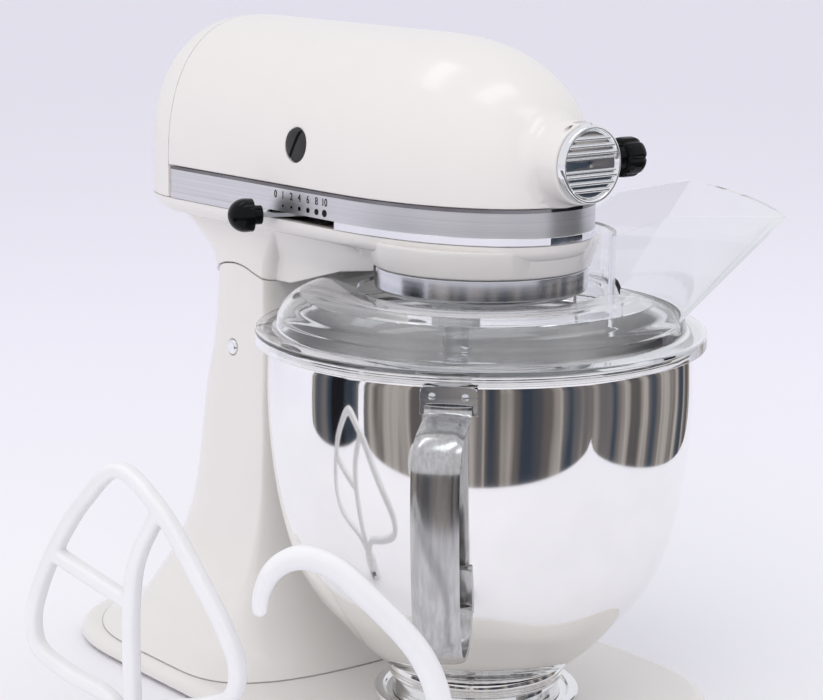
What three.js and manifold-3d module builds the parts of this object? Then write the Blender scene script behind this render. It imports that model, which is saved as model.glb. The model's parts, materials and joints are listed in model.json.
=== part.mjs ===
// A tilt-head stand mixer with a steel bowl, a clear pouring shield, a flat beater and a dough hook.
// Millimetres, +Z up, +X towards the nose of the head. The bowl axis is x = 0, y = 0 while the pieces
// are made, the table is z = 0, and the last lines move the origin under the middle of the whole set.
import * as THREE from 'three';
import { mergeVertices } from 'three/addons/utils/BufferGeometryUtils.js';
import Module from 'manifold-3d';

const wasm = await Module();
wasm.setup();

// Fits and facets

const clearance = 0.3; // between pieces that rest on or in each other
const runningGap = 0.7; // between pieces that turn past each other
const overrun = 4; // how far a cutter runs past what it cuts
const facets = { tiny: 8, small: 12, medium: 18, large: 28, bowl: 40 };

// Driving dimensions

const base = {
  half: 110, rear: -263, front: 100, rearStart: -170, frontStart: 5, bottom: 2.2, top: 11.3,
  edgeRound: 7, power: 3,
};
const foot = {
  radius: 10, pad: 1.9, stemRadius: 4, stem: 4, rearX: -205, rearY: 70, frontX: 40, frontY: 78, noseX: 84,
};
const column = {
  top: 226, wall: 5, bossHeight: 50, frontPower: 3,
  screwRadius: 3.5, screwHead: 6, screwLength: 22, screwRear: -207, screwFront: -108,
};
const pin = {
  x: -145, z: 176, radius: 4.25, end: 52.6, seamRadius: 45.5, seamFirst: 70, seamMiddle: 128, seamLast: 180,
  hoodEnd: 154,
};
const head = {
  half: 60, rear: -249, nose: 61, rearStart: -186, noseStart: -45,
  bandBottom: 253, bandTop: 271, rise: 80.5, crownDrop: 4, coverSeam: -193, wall: 3, inset: 1.8, lip: 8.7,
  power: 2.35, nosePower: 2.6, planPower: 2.2, topShare: 0.92,
};
const gearCase = {
  floor: 247, floorThick: 4, noseBottom: 236.3, noseRadius: 54.5, coneTop: 249, coneRadius: 58.4,
  swellHalf: 49.5, armLowHalf: 43, armHighHalf: 51, armRear: -160, armRearStart: -150,
  armFront: -24, armFrontLow: 233.5, armStepX: -60, armStepZ: 228,
  hollowInset: 20.5, hollowRear: -162, hollowFront: -62, hollowLow: 200, roof: 241,
  lugInner: 10, lugThick: 10, lugHalf: 6, lugRadius: 13, bearingBoss: 14.4, bearingTop: 261.5,
  stopX: -129, stopRadius: 6, stopBottom: 214.4,
};
const caseScrew = { radius: 2, head: 3.2, headThick: 3, x: -36, inset: 8.2, boss: 4.6, length: 22 };
const drip = { radius: 53.3, wall: 1.8, bottom: 224.4, top: 236, spigot: 51.2, spigotLow: 229, room: 53.9 };
const band = { thick: 1.2, rear: -190, slotRear: -102, slotFront: -42, slotHeight: 4.2, slotPoint: 4 };
const hub = {
  heightShare: 0.2708, radius: 19.6, face: 74, edge: 1, boreRadius: 11.3, shaftRadius: 10.6, shaftFront: 70,
  squareHalf: 5.5, squareDepth: 22, coverRadius: 18.6, coverThick: 3, rimThick: 4.6, rimWidth: 2.2,
  ribs: 3, ribRise: 2, ribWidth: 1.5, ribPitch: 3.4, ribStart: 5.4,
  hingeX: 71.6, hingeRise: 16.9, hingeRadius: 1.1, hingeHalf: 7, knuckleRadius: 2.3, knuckleHalf: 3.6,
};
const knob = {
  x: 64, stemRadius: 3.2, stemStart: 14.4, collarRadius: 7, start: 25.9, collar: 4, radius: 9.8, length: 17.3,
  flutes: 6, fluteRadius: 1.7,
};
const lever = {
  pivotX: -71, pivotY: -8, width: 10, thick: 2, z: 254.2, rest: 22, tail: 6, tip: 5,
  pivotRadius: 3, pivotTop: 259, knobGap: 3.5, knobLength: 16.5, knobRadius: 8.4, plug: 8,
};
const lock = {
  x: -128, y: 30, z: 197, width: 9, thick: 3, reach: 62, tail: 7, knobStart: 56, knobLength: 14,
  knobRadius: 6.4, slotRear: 12.5, slotFront: 4.5, slotInner: 42, shelfThick: 6, shelfRear: -135,
  screwRadius: 2.6, screwHead: 4.4,
};
const stop = { radius: 3.5, bottom: 184, head: 5, headThick: 4 };
const brush = {
  x: -76, capRadius: 8.6, capThick: 5, capInset: 0.2, slot: 1.9, tubeRadius: 6, tubeStart: 14,
  coal: 4, coalStart: 12.4, coalEnd: 32,
};
const planet = {
  offset: 28, angle: -65.7, radius: 49.2, bottom: 222.8, top: 237.6, bossRadius: 12, bossBottom: 214,
};
const shaft = {
  radius: 6.3, bottom: 184, top: 246.2, pinRadius: 1.6, pinHalf: 10.4, pinZ: 199.5,
  washerRadius: 20.5, washerThick: 1.4, washerZ: 187.4, tipThick: 2.4, tipRadius: 8,
};
const gears = {
  axisShare: 0.2609, addendumShare: 0.75, dedendumShare: 1.05,
  worm: {
    tip: 6.2, depth: 1.6, start: -51, end: -21, pitch: 6, sides: 8, stepsPerPitch: 4, crestShare: 0.33,
  },
  wheel: { x: -34, y: 29, teeth: 20, tip: 22.4, depth: 3, thick: 9, shaftRadius: 4, top: 304.5 },
  centre: { teeth: 36, thick: 10, bottom: 262, shaftRadius: 7, shaftBottom: 226, shaftTop: 281 },
  pinion: { teeth: 9, overlap: 0.5 },
  crown: { inner: 19, outer: 30, teeth: 20, rise: 5.4, depth: 3 },
  bevel: { teeth: 10, tip: 14.4, depth: 2.4, thick: 7, x: 19 },
  ring: { teeth: 42, outer: 49.6, bottom: 238.8, top: 246.7 },
  planet: { teeth: 12, bottom: 239.4, top: 245.4 },
};
const motor = {
  shaftRadius: 4, rear: -213, rotorRadius: 21, rotorRear: -160, rotorFront: -104, rotorSlots: 9, slotDepth: 5,
  slotWidth: 3, neckRadius: 8, commutatorRadius: 12, commutatorRear: -90, commutatorFront: -68,
  statorRadius: 40.7, statorBore: 22.4, statorRear: -158, statorFront: -106, windowInner: 26, windowOuter: 35,
  windowHalf: 9, coilOverhang: 6,
  fanRadius: 34, fanHub: 9, fanRear: -179, fanThick: 8, fanDisc: 1.6, fanBlades: 9, bladeThick: 1.6,
  bearingRadius: 11, bearingThick: 7, rearBearing: -189.5, frontBearing: -63, plateThick: 5,
  plateHalf: 34, plateTop: 322, plateCorner: 12,
  boardX: -224, boardThick: 2.4, boardHalf: 24, boardTop: 318,
  bracketTop: 305, bracketArm: 4.5, bracketHalf: 33, armHalf: 7, doorTop: 262, doorSide: 3,
};
const cover = {
  screwShare: 0.36, screwRadius: 2.2, screwHead: 4.4, screwSeat: -241, headThick: 2.6, screwFront: -219,
  postFront: -228,
  vents: 5, ventWide: 3, ventTall: 22, ventPitch: 9, ventZ: 262, ventFront: -236,
};
const gland = { radius: 6, flange: 8.4, flangeThick: 1.6, bore: 3.4, bottom: 231, x: -206, y: 26 };
const plate = {
  radius: 53, lip: 6.2, floor: 1.5, height: 3.6, chamfer: 1, screwX: 32, screwRadius: 2.6, screwHead: 5,
};
const bowl = {
  wall: 1.2,
  side: [
    [0, 27.2], [44, 30.6], [59, 41], [72.3, 55.4], [83, 68], [93, 85], [99.8, 108], [104.4, 135],
    [106.8, 168],
    [106.4, 197],
  ],
  rim: [[109.4, 197.6], [110.5, 199.4], [109.4, 201.7], [106.2, 201.4]],
  foot: [
    [44.6, 30.3], [45.2, 27.5], [43.6, 26.5], [44.8, 24.6], [43, 22.8], [42.6, 16], [43.4, 13.4],
    [41.2, 13.4],
    [38, 28.8],
  ],
};
const handle = {
  angle: -48.3, width: 22, thick: 2.2, tabTop: 116,
  // Points of the strap: distance out from the bowl's widest radius, and height.
  line: [
    [3.1, 187.6], [3.3, 184.8], [7, 182.2], [17.2, 180.5], [30.2, 178], [38.7, 170], [40.7, 158], [39.2, 130],
    [34.2, 100], [27.2, 80], [17.2, 71.5], [5.2, 71], [-5.8, 84],
  ],
  plateHalf: 13.4, plateGap: 0.4, plateThick: 1.3, plateTop: 196.3, plateBottom: 183,
  weldRadius: 1.8, weldRise: 0.8, weldY: 7.6, weldZ: 191.6,
};
const shield = {
  wall: 2, foot: 102.6, flangeTop: 204.6, flangeBottom: 202.3, outer: 113, skirtBottom: 197.6,
  dome: [[62, 224], [82, 224], [91, 221.5], [98, 217], [101.6, 211]], steepFrom: 2,
  collar: 65, collarTop: 252, bend: 95, bendTop: 264, chuteLow: 206, chuteFoot: 101, chuteFootTop: 212,
  lip: 151, lipDip: 11, lipPower: 0.8, lipTop: 266.5, chuteStart: 33.3, chuteEnd: 91.4, sections: 9,
};
const beater = {
  x: -11, y: -200, turn: 18, bar: 7, deep: 8, collarRadius: 10.5, collar: 27, bore: 6.9, slot: 3.8,
  slotLow: 6, slotHigh: 13,
  frameSteps: 34, spineSteps: 7,
  frame: [
    [0, 22], [-12, 46], [-40, 55], [-58, 64], [-61, 77], [-57, 92], [-45, 116], [-27, 141], [-6, 158.5],
    [16, 145], [39, 116], [55, 92], [61, 77], [58, 64], [40, 55], [12, 46], [0, 22],
  ],
  spine: [[0, 20], [0, 96], [4, 118], [17, 142]],
  cross: [[-46, 112], [0, 96]],
};
const hook = {
  x: 127, y: -130, turn: 51, collarRadius: 10.5, collar: 27, rod: 5.6, tipShare: 0.55, taperShare: 0.2,
  steps: 16,
  line: [
    [0, 20], [0, 48], [-0.6, 74], [-9, 95], [-31, 120], [-47, 134], [-60, 138], [-71, 133], [-77, 122],
    [-78, 111],
  ],
};

// Materials

const paint = new THREE.MeshStandardMaterial({ color: 0xf1eee8, roughness: 0.25, metalness: 0 });
const coat = new THREE.MeshStandardMaterial({ color: 0xf4f4f4, roughness: 0.35, metalness: 0 });
const mirror = new THREE.MeshStandardMaterial({ color: 0xc9c9cb, roughness: 0.08, metalness: 1 });
const brushed = new THREE.MeshStandardMaterial({ color: 0xb9babd, roughness: 0.35, metalness: 1 });
const chrome = new THREE.MeshStandardMaterial({ color: 0xd8d9dc, roughness: 0.05, metalness: 1 });
const steel = new THREE.MeshStandardMaterial({ color: 0x9a9ca0, roughness: 0.4, metalness: 1 });
const iron = new THREE.MeshStandardMaterial({ color: 0x5d5f63, roughness: 0.6, metalness: 1 });
const bronze = new THREE.MeshStandardMaterial({ color: 0xa97b3c, roughness: 0.4, metalness: 1 });
const copper = new THREE.MeshStandardMaterial({ color: 0xb06a3c, roughness: 0.4, metalness: 1 });
const black = new THREE.MeshStandardMaterial({ color: 0x141414, roughness: 0.2, metalness: 0 });
const rubber = new THREE.MeshStandardMaterial({ color: 0xd9d9d6, roughness: 0.8, metalness: 0 });
const carbon = new THREE.MeshStandardMaterial({ color: 0x222222, roughness: 0.9, metalness: 0 });
const clear = new THREE.MeshStandardMaterial({
  color: 0xeef4f6, roughness: 0.05, metalness: 0, transparent: true, opacity: 0.3,
});

// Places that follow from the sizes

const crownZ = head.bandTop + head.rise;
const axisZ = head.bandTop + head.rise * gears.axisShare;
const hubZ = head.bandTop + head.rise * hub.heightShare;
const coverScrewZ = head.bandTop + head.rise * cover.screwShare;
const knobStart = head.half + lever.knobGap;
const capTop = head.half - brush.capInset;
const caseScrewY = head.half - caseScrew.inset;

// Solids

const radians = (degrees) => (degrees * Math.PI) / 180;

function solid(geometry) {
  geometry.deleteAttribute('normal');
  geometry.deleteAttribute('uv');
  const merged = mergeVertices(geometry, clearance / 1000);
  const index = merged.index.array;
  const kept = [];
  for (let i = 0; i < index.length; i += 3) {
    const [a, b, c] = [index[i], index[i + 1], index[i + 2]];
    if (a !== b && b !== c && c !== a) kept.push(a, b, c);
  }
  const vertProperties = new Float32Array(merged.attributes.position.array);
  const made = (order) => new wasm.Manifold(new wasm.Mesh({
    numProp: 3, vertProperties, triVerts: new Uint32Array(order),
  }));
  const first = made(kept);
  return first.volume() > 0 ? first : made(kept.reverse());
}

function geometryOf(manifold) {
  const mesh = manifold.getMesh();
  const geometry = new THREE.BufferGeometry();
  geometry.setAttribute('position', new THREE.BufferAttribute(new Float32Array(mesh.vertProperties), 3));
  geometry.setIndex(new THREE.BufferAttribute(new Uint32Array(mesh.triVerts), 1));
  geometry.computeVertexNormals();
  return geometry;
}

const join = (...pieces) => pieces.reduce((whole, piece) => whole.add(piece));
const cut = (from, ...cutters) => cutters.reduce((whole, cutter) => whole.subtract(cutter), from);

// A closed body through rings of equal count, each a list of Vector3, with a fan over each end.
function loft(rings) {
  const count = rings[0].length;
  const positions = rings.flat().flatMap((p) => [p.x, p.y, p.z]);
  const index = [];
  for (let level = 0; level + 1 < rings.length; level += 1) {
    for (let i = 0; i < count; i += 1) {
      const a = level * count + i;
      const b = level * count + ((i + 1) % count);
      index.push(a, b, b + count, a, b + count, a + count);
    }
  }
  [0, rings.length - 1].forEach((level) => {
    const middle = rings[level].reduce((sum, p) => sum.add(p), new THREE.Vector3()).divideScalar(count);
    const centre = positions.length / 3;
    positions.push(middle.x, middle.y, middle.z);
    for (let i = 0; i < count; i += 1) {
      const a = level * count + i;
      const b = level * count + ((i + 1) % count);
      index.push(...(level ? [centre, a, b] : [centre, b, a]));
    }
  });
  const geometry = new THREE.BufferGeometry();
  geometry.setAttribute('position', new THREE.Float32BufferAttribute(positions, 3));
  geometry.setIndex(index);
  return solid(geometry);
}

// A turned body about Z, from [radius, height] points.
function turned(points, segments = facets.small) {
  const profile = points.map(([r, z]) => new THREE.Vector2(r, z));
  const closed = points[0][0] > 0 ? [...profile, profile[0].clone()] : profile;
  return solid(new THREE.LatheGeometry(closed, segments).rotateX(Math.PI / 2));
}

function placed(manifold, { axis = 'z', spin = 0, at = [0, 0, 0] }) {
  const geometry = geometryOf(manifold);
  if (spin) geometry.rotateZ(radians(spin));
  if (axis === 'x') geometry.rotateY(Math.PI / 2);
  if (axis === 'y') geometry.rotateX(-Math.PI / 2);
  return solid(geometry.translate(...at));
}

// A round bar along an axis, from start to end, at the two other coordinates in their order.
function bar(axis, radius, start, end, [p, q] = [0, 0], segments = facets.small) {
  const geometry = new THREE.CylinderGeometry(radius, radius, end - start, segments).rotateX(Math.PI / 2);
  if (axis === 'x') geometry.rotateY(Math.PI / 2);
  if (axis === 'y') geometry.rotateX(-Math.PI / 2);
  const middle = (start + end) / 2;
  const at = { x: [middle, p, q], y: [p, middle, q], z: [p, q, middle] }[axis];
  return solid(geometry.translate(...at));
}

function block([x0, x1], [y0, y1], [z0, z1]) {
  const geometry = new THREE.BoxGeometry(x1 - x0, y1 - y0, z1 - z0);
  return solid(geometry.translate((x0 + x1) / 2, (y0 + y1) / 2, (z0 + z1) / 2));
}

const flat = (points) => points.map(([x, y]) => new THREE.Vector2(x, y));

// A flat outline in x and y, with holes, raised from z0 to z1.
function raised(points, z0, z1, holes = []) {
  const shape = new THREE.Shape(flat(points));
  shape.holes = holes.map((hole) => new THREE.Path(flat(hole)));
  const geometry = new THREE.ExtrudeGeometry(shape, { depth: z1 - z0, bevelEnabled: false });
  return solid(geometry.translate(0, 0, z0));
}

// A flat outline in x and z, thickened from y0 to y1.
function upright(points, y0, y1) {
  const geometry = new THREE.ExtrudeGeometry(new THREE.Shape(flat(points)),
    { depth: y1 - y0, bevelEnabled: false });
  return solid(geometry.rotateX(Math.PI / 2).translate(0, y1, 0));
}

function arc(radius, from, to, count, [x, y] = [0, 0]) {
  return Array.from({ length: count }, (_, i) => {
    const angle = radians(from + ((to - from) * i) / (count - 1));
    return [x + radius * Math.cos(angle), y + radius * Math.sin(angle)];
  });
}

const circle = (radius, segments, centre) => arc(radius, 0, 360, segments + 1, centre).slice(1);

// The outline of a wheel with straight-sided teeth between its root and tip circles. The tips of an
// internal gear lie inside its roots.
function toothed(teeth, root, tip, turn = 0) {
  const cornerShares = [[-0.28, 0], [-0.13, 1], [0.13, 1], [0.28, 0]];
  return Array.from({ length: teeth }, (_, i) => cornerShares.map(([placeShare, riseShare]) => {
    const angle = (2 * Math.PI * (i + placeShare)) / teeth + turn;
    const radius = root + (tip - root) * riseShare;
    return [radius * Math.cos(angle), radius * Math.sin(angle)];
  })).flat();
}

// Outlines from tables of shares of a radius and a length

const shaped = (radius, start, length, table) => table.map(
  ([r, along]) => [radius * r, start + length * along]);

// A line moved sideways by a distance, with mitred corners.
function moved(points, distance) {
  return points.map(([x, y], i) => {
    const before = points[Math.max(i - 1, 0)];
    const after = points[Math.min(i + 1, points.length - 1)];
    const into = new THREE.Vector2(x - before[0], y - before[1]).normalize();
    const out = new THREE.Vector2(after[0] - x, after[1] - y).normalize();
    const along = into.clone().add(out).normalize();
    const stretch = into.length() && out.length() ? 1 / Math.max(along.dot(out), 1 / 2) : 1;
    return [x - along.y * distance * stretch, y + along.x * distance * stretch];
  });
}

const ribbon = (points, width) => [...moved(points, width / 2), ...moved(points, -width / 2).reverse()];

// A round rod along a line in x and z.
function rod(points, radii, segments = facets.tiny) {
  const left = moved(points, clearance).map(([x, z], i) => {
    const [fromX, fromZ] = points[i];
    return new THREE.Vector3(x - fromX, 0, z - fromZ).normalize();
  });
  return loft(points.map(([x, z], i) => Array.from({ length: segments }, (_, j) => {
    const angle = (2 * Math.PI * j) / segments;
    return new THREE.Vector3(x, 0, z)
      .addScaledVector(left[i], radii[i] * Math.cos(angle))
      .add(new THREE.Vector3(0, radii[i] * Math.sin(angle), 0));
  })));
}

function smooth(points, count) {
  const curve = new THREE.CatmullRomCurve3(points.map(([x, y]) => new THREE.Vector3(x, y, 0)), false,
    'centripetal');
  return curve.getSpacedPoints(count).map((p) => [p.x, p.y]);
}

// The scene: one group for each part of the machine

const mixer = new THREE.Group();
const [stand, tiltHead, bowlSet, loose] = Array.from({ length: 4 }, () => new THREE.Group());
mixer.add(stand, tiltHead, bowlSet, loose);

function add(parent, name, manifold, material, at = [0, 0, 0]) {
  const mesh = new THREE.Mesh(geometryOf(manifold), material);
  mesh.name = name;
  mesh.position.set(...at);
  parent.add(mesh);
}

const sides = [['left', -1], ['right', 1]];

// A plan outline with straight sides and rounded ends, at height z.
function planRing({ half, rear, rearStart, nose, noseStart, power = 2, nosePower = 2 }, z,
  count = facets.large) {
  const end = (tip, start, sharp, from) => Array.from({ length: count / 2 }, (_, i) => {
    const angle = from + (2 * Math.PI * (i + 0.5)) / count;
    const share = Math.abs(Math.cos(angle)) ** (2 / sharp);
    const sideShare = Math.sign(Math.sin(angle)) * Math.abs(Math.sin(angle)) ** (2 / sharp);
    return new THREE.Vector3(start + (tip - start) * share, half * sideShare, z);
  });
  return [...end(nose, noseStart, nosePower, -Math.PI / 2), ...end(rear, rearStart, power, Math.PI / 2)];
}

const drill = (radius, bottom, top, at) => bar('z', radius + clearance, bottom, top, at, facets.tiny);

// A screw that stands head up, with a slot across its head.
function slottedScrew(radius, headRadius, bottom, seat, top) {
  const rise = top - seat;
  const headShares = [[1, 0], [1, 0.5], [0.8, 1], [0, 1]];
  const body = turned([[0, bottom], [radius, bottom], [radius, seat],
    ...shaped(headRadius, seat, rise, headShares)], facets.tiny);
  return cut(body, block([-headRadius, headRadius], [-rise / 4, rise / 4], [top - rise / 2, top + overrun]));
}

// Base, feet and the screws that hold the column from below

const footPlaces = [
  [foot.rearX, foot.rearY], [foot.rearX, -foot.rearY], [foot.frontX, foot.frontY],
  [foot.frontX, -foot.frontY],
  [foot.noseX, 0],
];
const columnScrews = [column.screwRear, column.screwFront].map((x) => [x, 0]);
const plateScrews = sides.map(([, side]) => [side * plate.screwX, 0]);
const screwHeadSeat = base.bottom + column.screwRadius;

function baseCasting() {
  const levelShares = [[0.25, 0], [0, 0.25], [0.06, 0.6], [0.35, 0.88], [1, 1]];
  const casting = loft(levelShares.map(([insetShare, heightShare]) => {
    const inset = base.edgeRound * insetShare;
    return planRing({
      half: base.half - inset, rear: base.rear + inset, rearStart: base.rearStart,
      nose: base.front - inset, noseStart: base.frontStart, power: base.power, nosePower: base.power,
    }, base.bottom + (base.top - base.bottom) * heightShare);
  }));
  const hole = (radius, top, at) => drill(radius, base.bottom - overrun, top, at);
  return cut(
    casting,
    ...footPlaces.map((at) => hole(foot.stemRadius, foot.pad + foot.stem + clearance, at)),
    ...columnScrews.flatMap((at) => [hole(column.screwRadius, base.top + overrun, at),
    hole(column.screwHead, screwHeadSeat, at)]),
    ...plateScrews.map((at) => hole(plate.screwRadius, base.top + overrun, at)),
  );
}

function footPad() {
  const top = foot.pad + foot.stem;
  const padShares = [[0, 0], [0.8, 0], [1, 0.33], [1, 1]];
  return turned([
    ...shaped(foot.radius, 0, foot.pad, padShares), [foot.stemRadius, foot.pad], [foot.stemRadius, top],
    [0, top],
  ]);
}

add(stand, 'base_casting', baseCasting(), paint);
footPlaces.forEach(([x, y], i) => add(stand, `foot_pad_${i + 1}`, footPad(), rubber, [x, y, 0]));

// Clamp plate for the bowl

const plateZ = base.top + clearance;
const plateFloor = plateZ + plate.floor;

function clampPlate() {
  const inner = plate.radius - plate.lip;
  const top = plateZ + plate.height;
  const ring = turned([
    [0, plateZ], [plate.radius, plateZ], [plate.radius, top - plate.chamfer],
    [plate.radius - plate.chamfer, top],
    [inner + plate.chamfer, top], [inner, plateFloor], [0, plateFloor],
  ], facets.large);
  const [holeBottom, holeTop] = [plateZ - overrun, plateZ + overrun];
  return cut(ring, ...plateScrews.map((at) => drill(plate.screwRadius, holeBottom, holeTop, at)));
}

add(stand, 'bowl_clamp_plate', clampPlate(), chrome);
const plateScrewSeat = plateFloor + clearance;
const plateScrewTop = plateScrewSeat + plate.chamfer;
plateScrews.forEach(([x, y], i) => add(
  stand, `clamp_plate_screw_${i + 1}`,
  slottedScrew(plate.screwRadius, plate.screwHead, base.bottom + plate.chamfer, plateScrewSeat,
  plateScrewTop),
  steel, [x, y, 0]));

// Column

const columnFloor = base.top + clearance;
// Each level: height above the base, half width, rear, front, and where the rounded rear and front begin.
const columnLevels = [
  [0, 105, -259, -66, -174, -125],
  [5, 96, -250, -72, -173, -124],
  [10, 88, -240, -78, -172, -122],
  [22, 80, -230, -88, -170, -118],
  [54, 64, -211, -101, -165, -114],
  [84, 58, -201, -106, -161, -112],
  [143, 53.5, -192, -111, -157, -114],
  [168, 51, -187, -114, -153, -116],
  [column.top - columnFloor, 49.5, -182, -116, -150, -118],
];

function columnBody(inset, lift = 0) {
  const last = columnLevels.length - 1;
  return loft(columnLevels.map(([rise, half, rear, front, rearStart, frontStart], i) => planRing({
    half: half - inset, rear: rear + inset, rearStart, nose: front - inset,
    noseStart: Math.min(frontStart, front - inset - overrun), power: head.planPower,
    nosePower: column.frontPower,
  }, columnFloor + rise + (i === 0 ? -lift : 0) + (i === last ? lift : 0), facets.medium)));
}

// The line between the column and the head, seen from the side: an arc about the pin behind, and a
// slope in front of it. It is never farther from the pin towards the rear, so that the head can tilt.
const seamSlope = [[62, 33], [42, 39.4], [29, 39.2], [20, 41.5]];
const seamLine = (slope, gap, lastDegrees) => [
  ...slope.map(([x, z]) => [pin.x + x, pin.z + z + gap]),
  ...arc(pin.seamRadius + gap, pin.seamFirst, lastDegrees, facets.tiny, [pin.x, pin.z]),
];

const lockShelfTop = lock.z - clearance;
const shelfBottom = lockShelfTop - lock.shelfThick;

function columnCasting() {
  const outer = columnBody(0);
  const inner = columnBody(column.wall, overrun);
  const belowSeam = upright([
    ...seamLine(seamSlope, 0, pin.seamLast), [base.rear, pin.z], [base.rear, 0], [pin.x + seamSlope[0][0], 0],
  ], -base.half, base.half);
  const toFront = block([pin.x, base.front], [-base.half, base.half], [0, pin.z]);
  const shelf = block([lock.shelfRear, base.front], [-base.half, base.half], [shelfBottom, lockShelfTop]);
  const bosses = columnScrews.map((at) => bar('z', column.screwHead, columnFloor,
    columnFloor + column.bossHeight, at));
  const casting = join(cut(outer, inner), ...[shelf, ...bosses].map((piece) => piece.intersect(outer)));
  return cut(
    casting.intersect(join(belowSeam, toFront)),
    bar('y', pin.radius + clearance, -base.half, base.half, [pin.x, pin.z]),
    block([lock.x - lock.slotRear, lock.x + lock.slotFront], [lock.slotInner, base.half],
      [lock.z, lock.z + lock.thick + 2 * runningGap]),
    drill(lock.screwRadius, shelfBottom - overrun, lockShelfTop + overrun, [lock.x, lock.y]),
    drill(stop.radius, shelfBottom - overrun, lockShelfTop + overrun, [gearCase.stopX, 0]),
    ...columnScrews.map((at) => drill(column.screwRadius, columnFloor - overrun,
    columnFloor + column.screwLength, at)),
  );
}

add(stand, 'column_casting', columnCasting(), paint);

const columnScrewTop = columnFloor + column.screwLength - clearance;
const screwHeadBottom = base.bottom + clearance;
const screwHeadTop = screwHeadSeat - clearance;
columnScrews.forEach(([x, y], i) => add(stand, `column_screw_${i + 1}`, turned([
  [0, screwHeadBottom], [column.screwHead, screwHeadBottom], [column.screwHead, screwHeadTop],
  [column.screwRadius, screwHeadTop], [column.screwRadius, columnScrewTop], [0, columnScrewTop],
], facets.tiny), steel, [x, y, 0]));

add(stand, 'hinge_pin', bar('y', pin.radius, -pin.end, pin.end, [pin.x, pin.z]), chrome);

// Height screw of the head, and the lock lever, both on the shelf inside the column

const stopTop = gearCase.stopBottom - clearance;
add(stand, 'head_height_screw', turned([
  [0, stop.bottom], [stop.radius, stop.bottom], [stop.radius, stopTop - stop.headThick],
  [stop.head, stopTop - stop.headThick],
  [stop.head, stopTop], [0, stopTop],
], facets.tiny), steel, [gearCase.stopX, 0, 0]);

const lockHalf = lock.width / 2;
const lockBottom = lock.z + clearance;
const lockTop = lockBottom + lock.thick;

function lockLever() {
  const hole = circle(lock.screwRadius + clearance, facets.tiny, [lock.x, lock.y]);
  return raised([
    [lock.x - lockHalf, lock.y - lock.tail], [lock.x + lockHalf, lock.y - lock.tail],
    [lock.x + lockHalf / 2, lock.reach], [lock.x - lockHalf / 2, lock.reach],
  ], lockBottom, lockTop, [hole]);
}

function lockKnob() {
  const knobShares = [[0, 0], [0.6, 0], [0.75, 0.14], [1, 0.55], [0.8, 0.86], [0.4, 1], [0, 1]];
  const body = placed(
    turned(shaped(lock.knobRadius, lock.knobStart, lock.knobLength, knobShares)),
    { axis: 'y', at: [lock.x, 0, (lockBottom + lockTop) / 2] });
  const socketHalf = lockHalf / 2 + 2 * clearance;
  return cut(body, block(
    [lock.x - socketHalf, lock.x + socketHalf], [lock.knobStart - overrun, lock.reach + clearance],
    [lockBottom - clearance, lockTop + clearance]));
}

add(stand, 'lock_lever', lockLever(), steel);
add(stand, 'lock_lever_knob', lockKnob(), black);
const lockSeat = lockTop + clearance;
add(stand, 'lock_lever_screw', slottedScrew(
  lock.screwRadius, lock.screwHead, shelfBottom, lockSeat, lockSeat + lock.thick), steel,
  [lock.x, lock.y, 0]);

// Head: the painted housing, the rear cover and the gear case below the trim band

const roundShare = (share, power) => (1 - share ** power) ** (1 / power);

function headRing(z, inset, share = 0) {
  const nose = head.noseStart + (head.nose - inset - head.noseStart) * roundShare(share, head.nosePower);
  const rear = head.rearStart + (head.rear + inset - head.rearStart) * roundShare(share, head.power);
  const ring = planRing({
    half: (head.half - inset) * roundShare(share, head.power),
    rear, rearStart: head.rearStart, nose, noseStart: head.noseStart, power: head.planPower,
    nosePower: head.planPower,
  }, z);
  return ring.map((p) => {
    const forwardShare = (p.x - head.rear) / (head.nose - head.rear);
    return p.setZ(z - head.crownDrop * share * forwardShare);
  });
}

function headDome(inset, lowest, steps) {
  const rise = head.rise - inset;
  const rings = Array.from({ length: steps }, (_, i) => {
    const upShare = (head.topShare * (i + 1)) / steps;
    const riseShare = Math.sin((upShare * Math.PI) / 2) ** (2 / head.power);
    return headRing(head.bandTop + rise * riseShare, inset, riseShare);
  });
  return loft([...lowest, ...rings]);
}

const domeSteps = { outer: 8, inner: 4 };
const lipTop = head.bandBottom + head.lip;
const skirtBottom = lipTop + clearance;
const noseEdge = hub.face + overrun;
const frontHalf = block([head.coverSeam + clearance / 2, noseEdge], [-base.half, base.half],
  [0, crownZ + overrun]);
const rearHalf = block([2 * base.rear, head.coverSeam - clearance / 2], [-base.half, base.half],
  [0, crownZ + overrun]);
const caseScrews = sides.map(([, side]) => [caseScrew.x, side * caseScrewY]);
const hingeZ = hubZ + hub.hingeRise;

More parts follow.
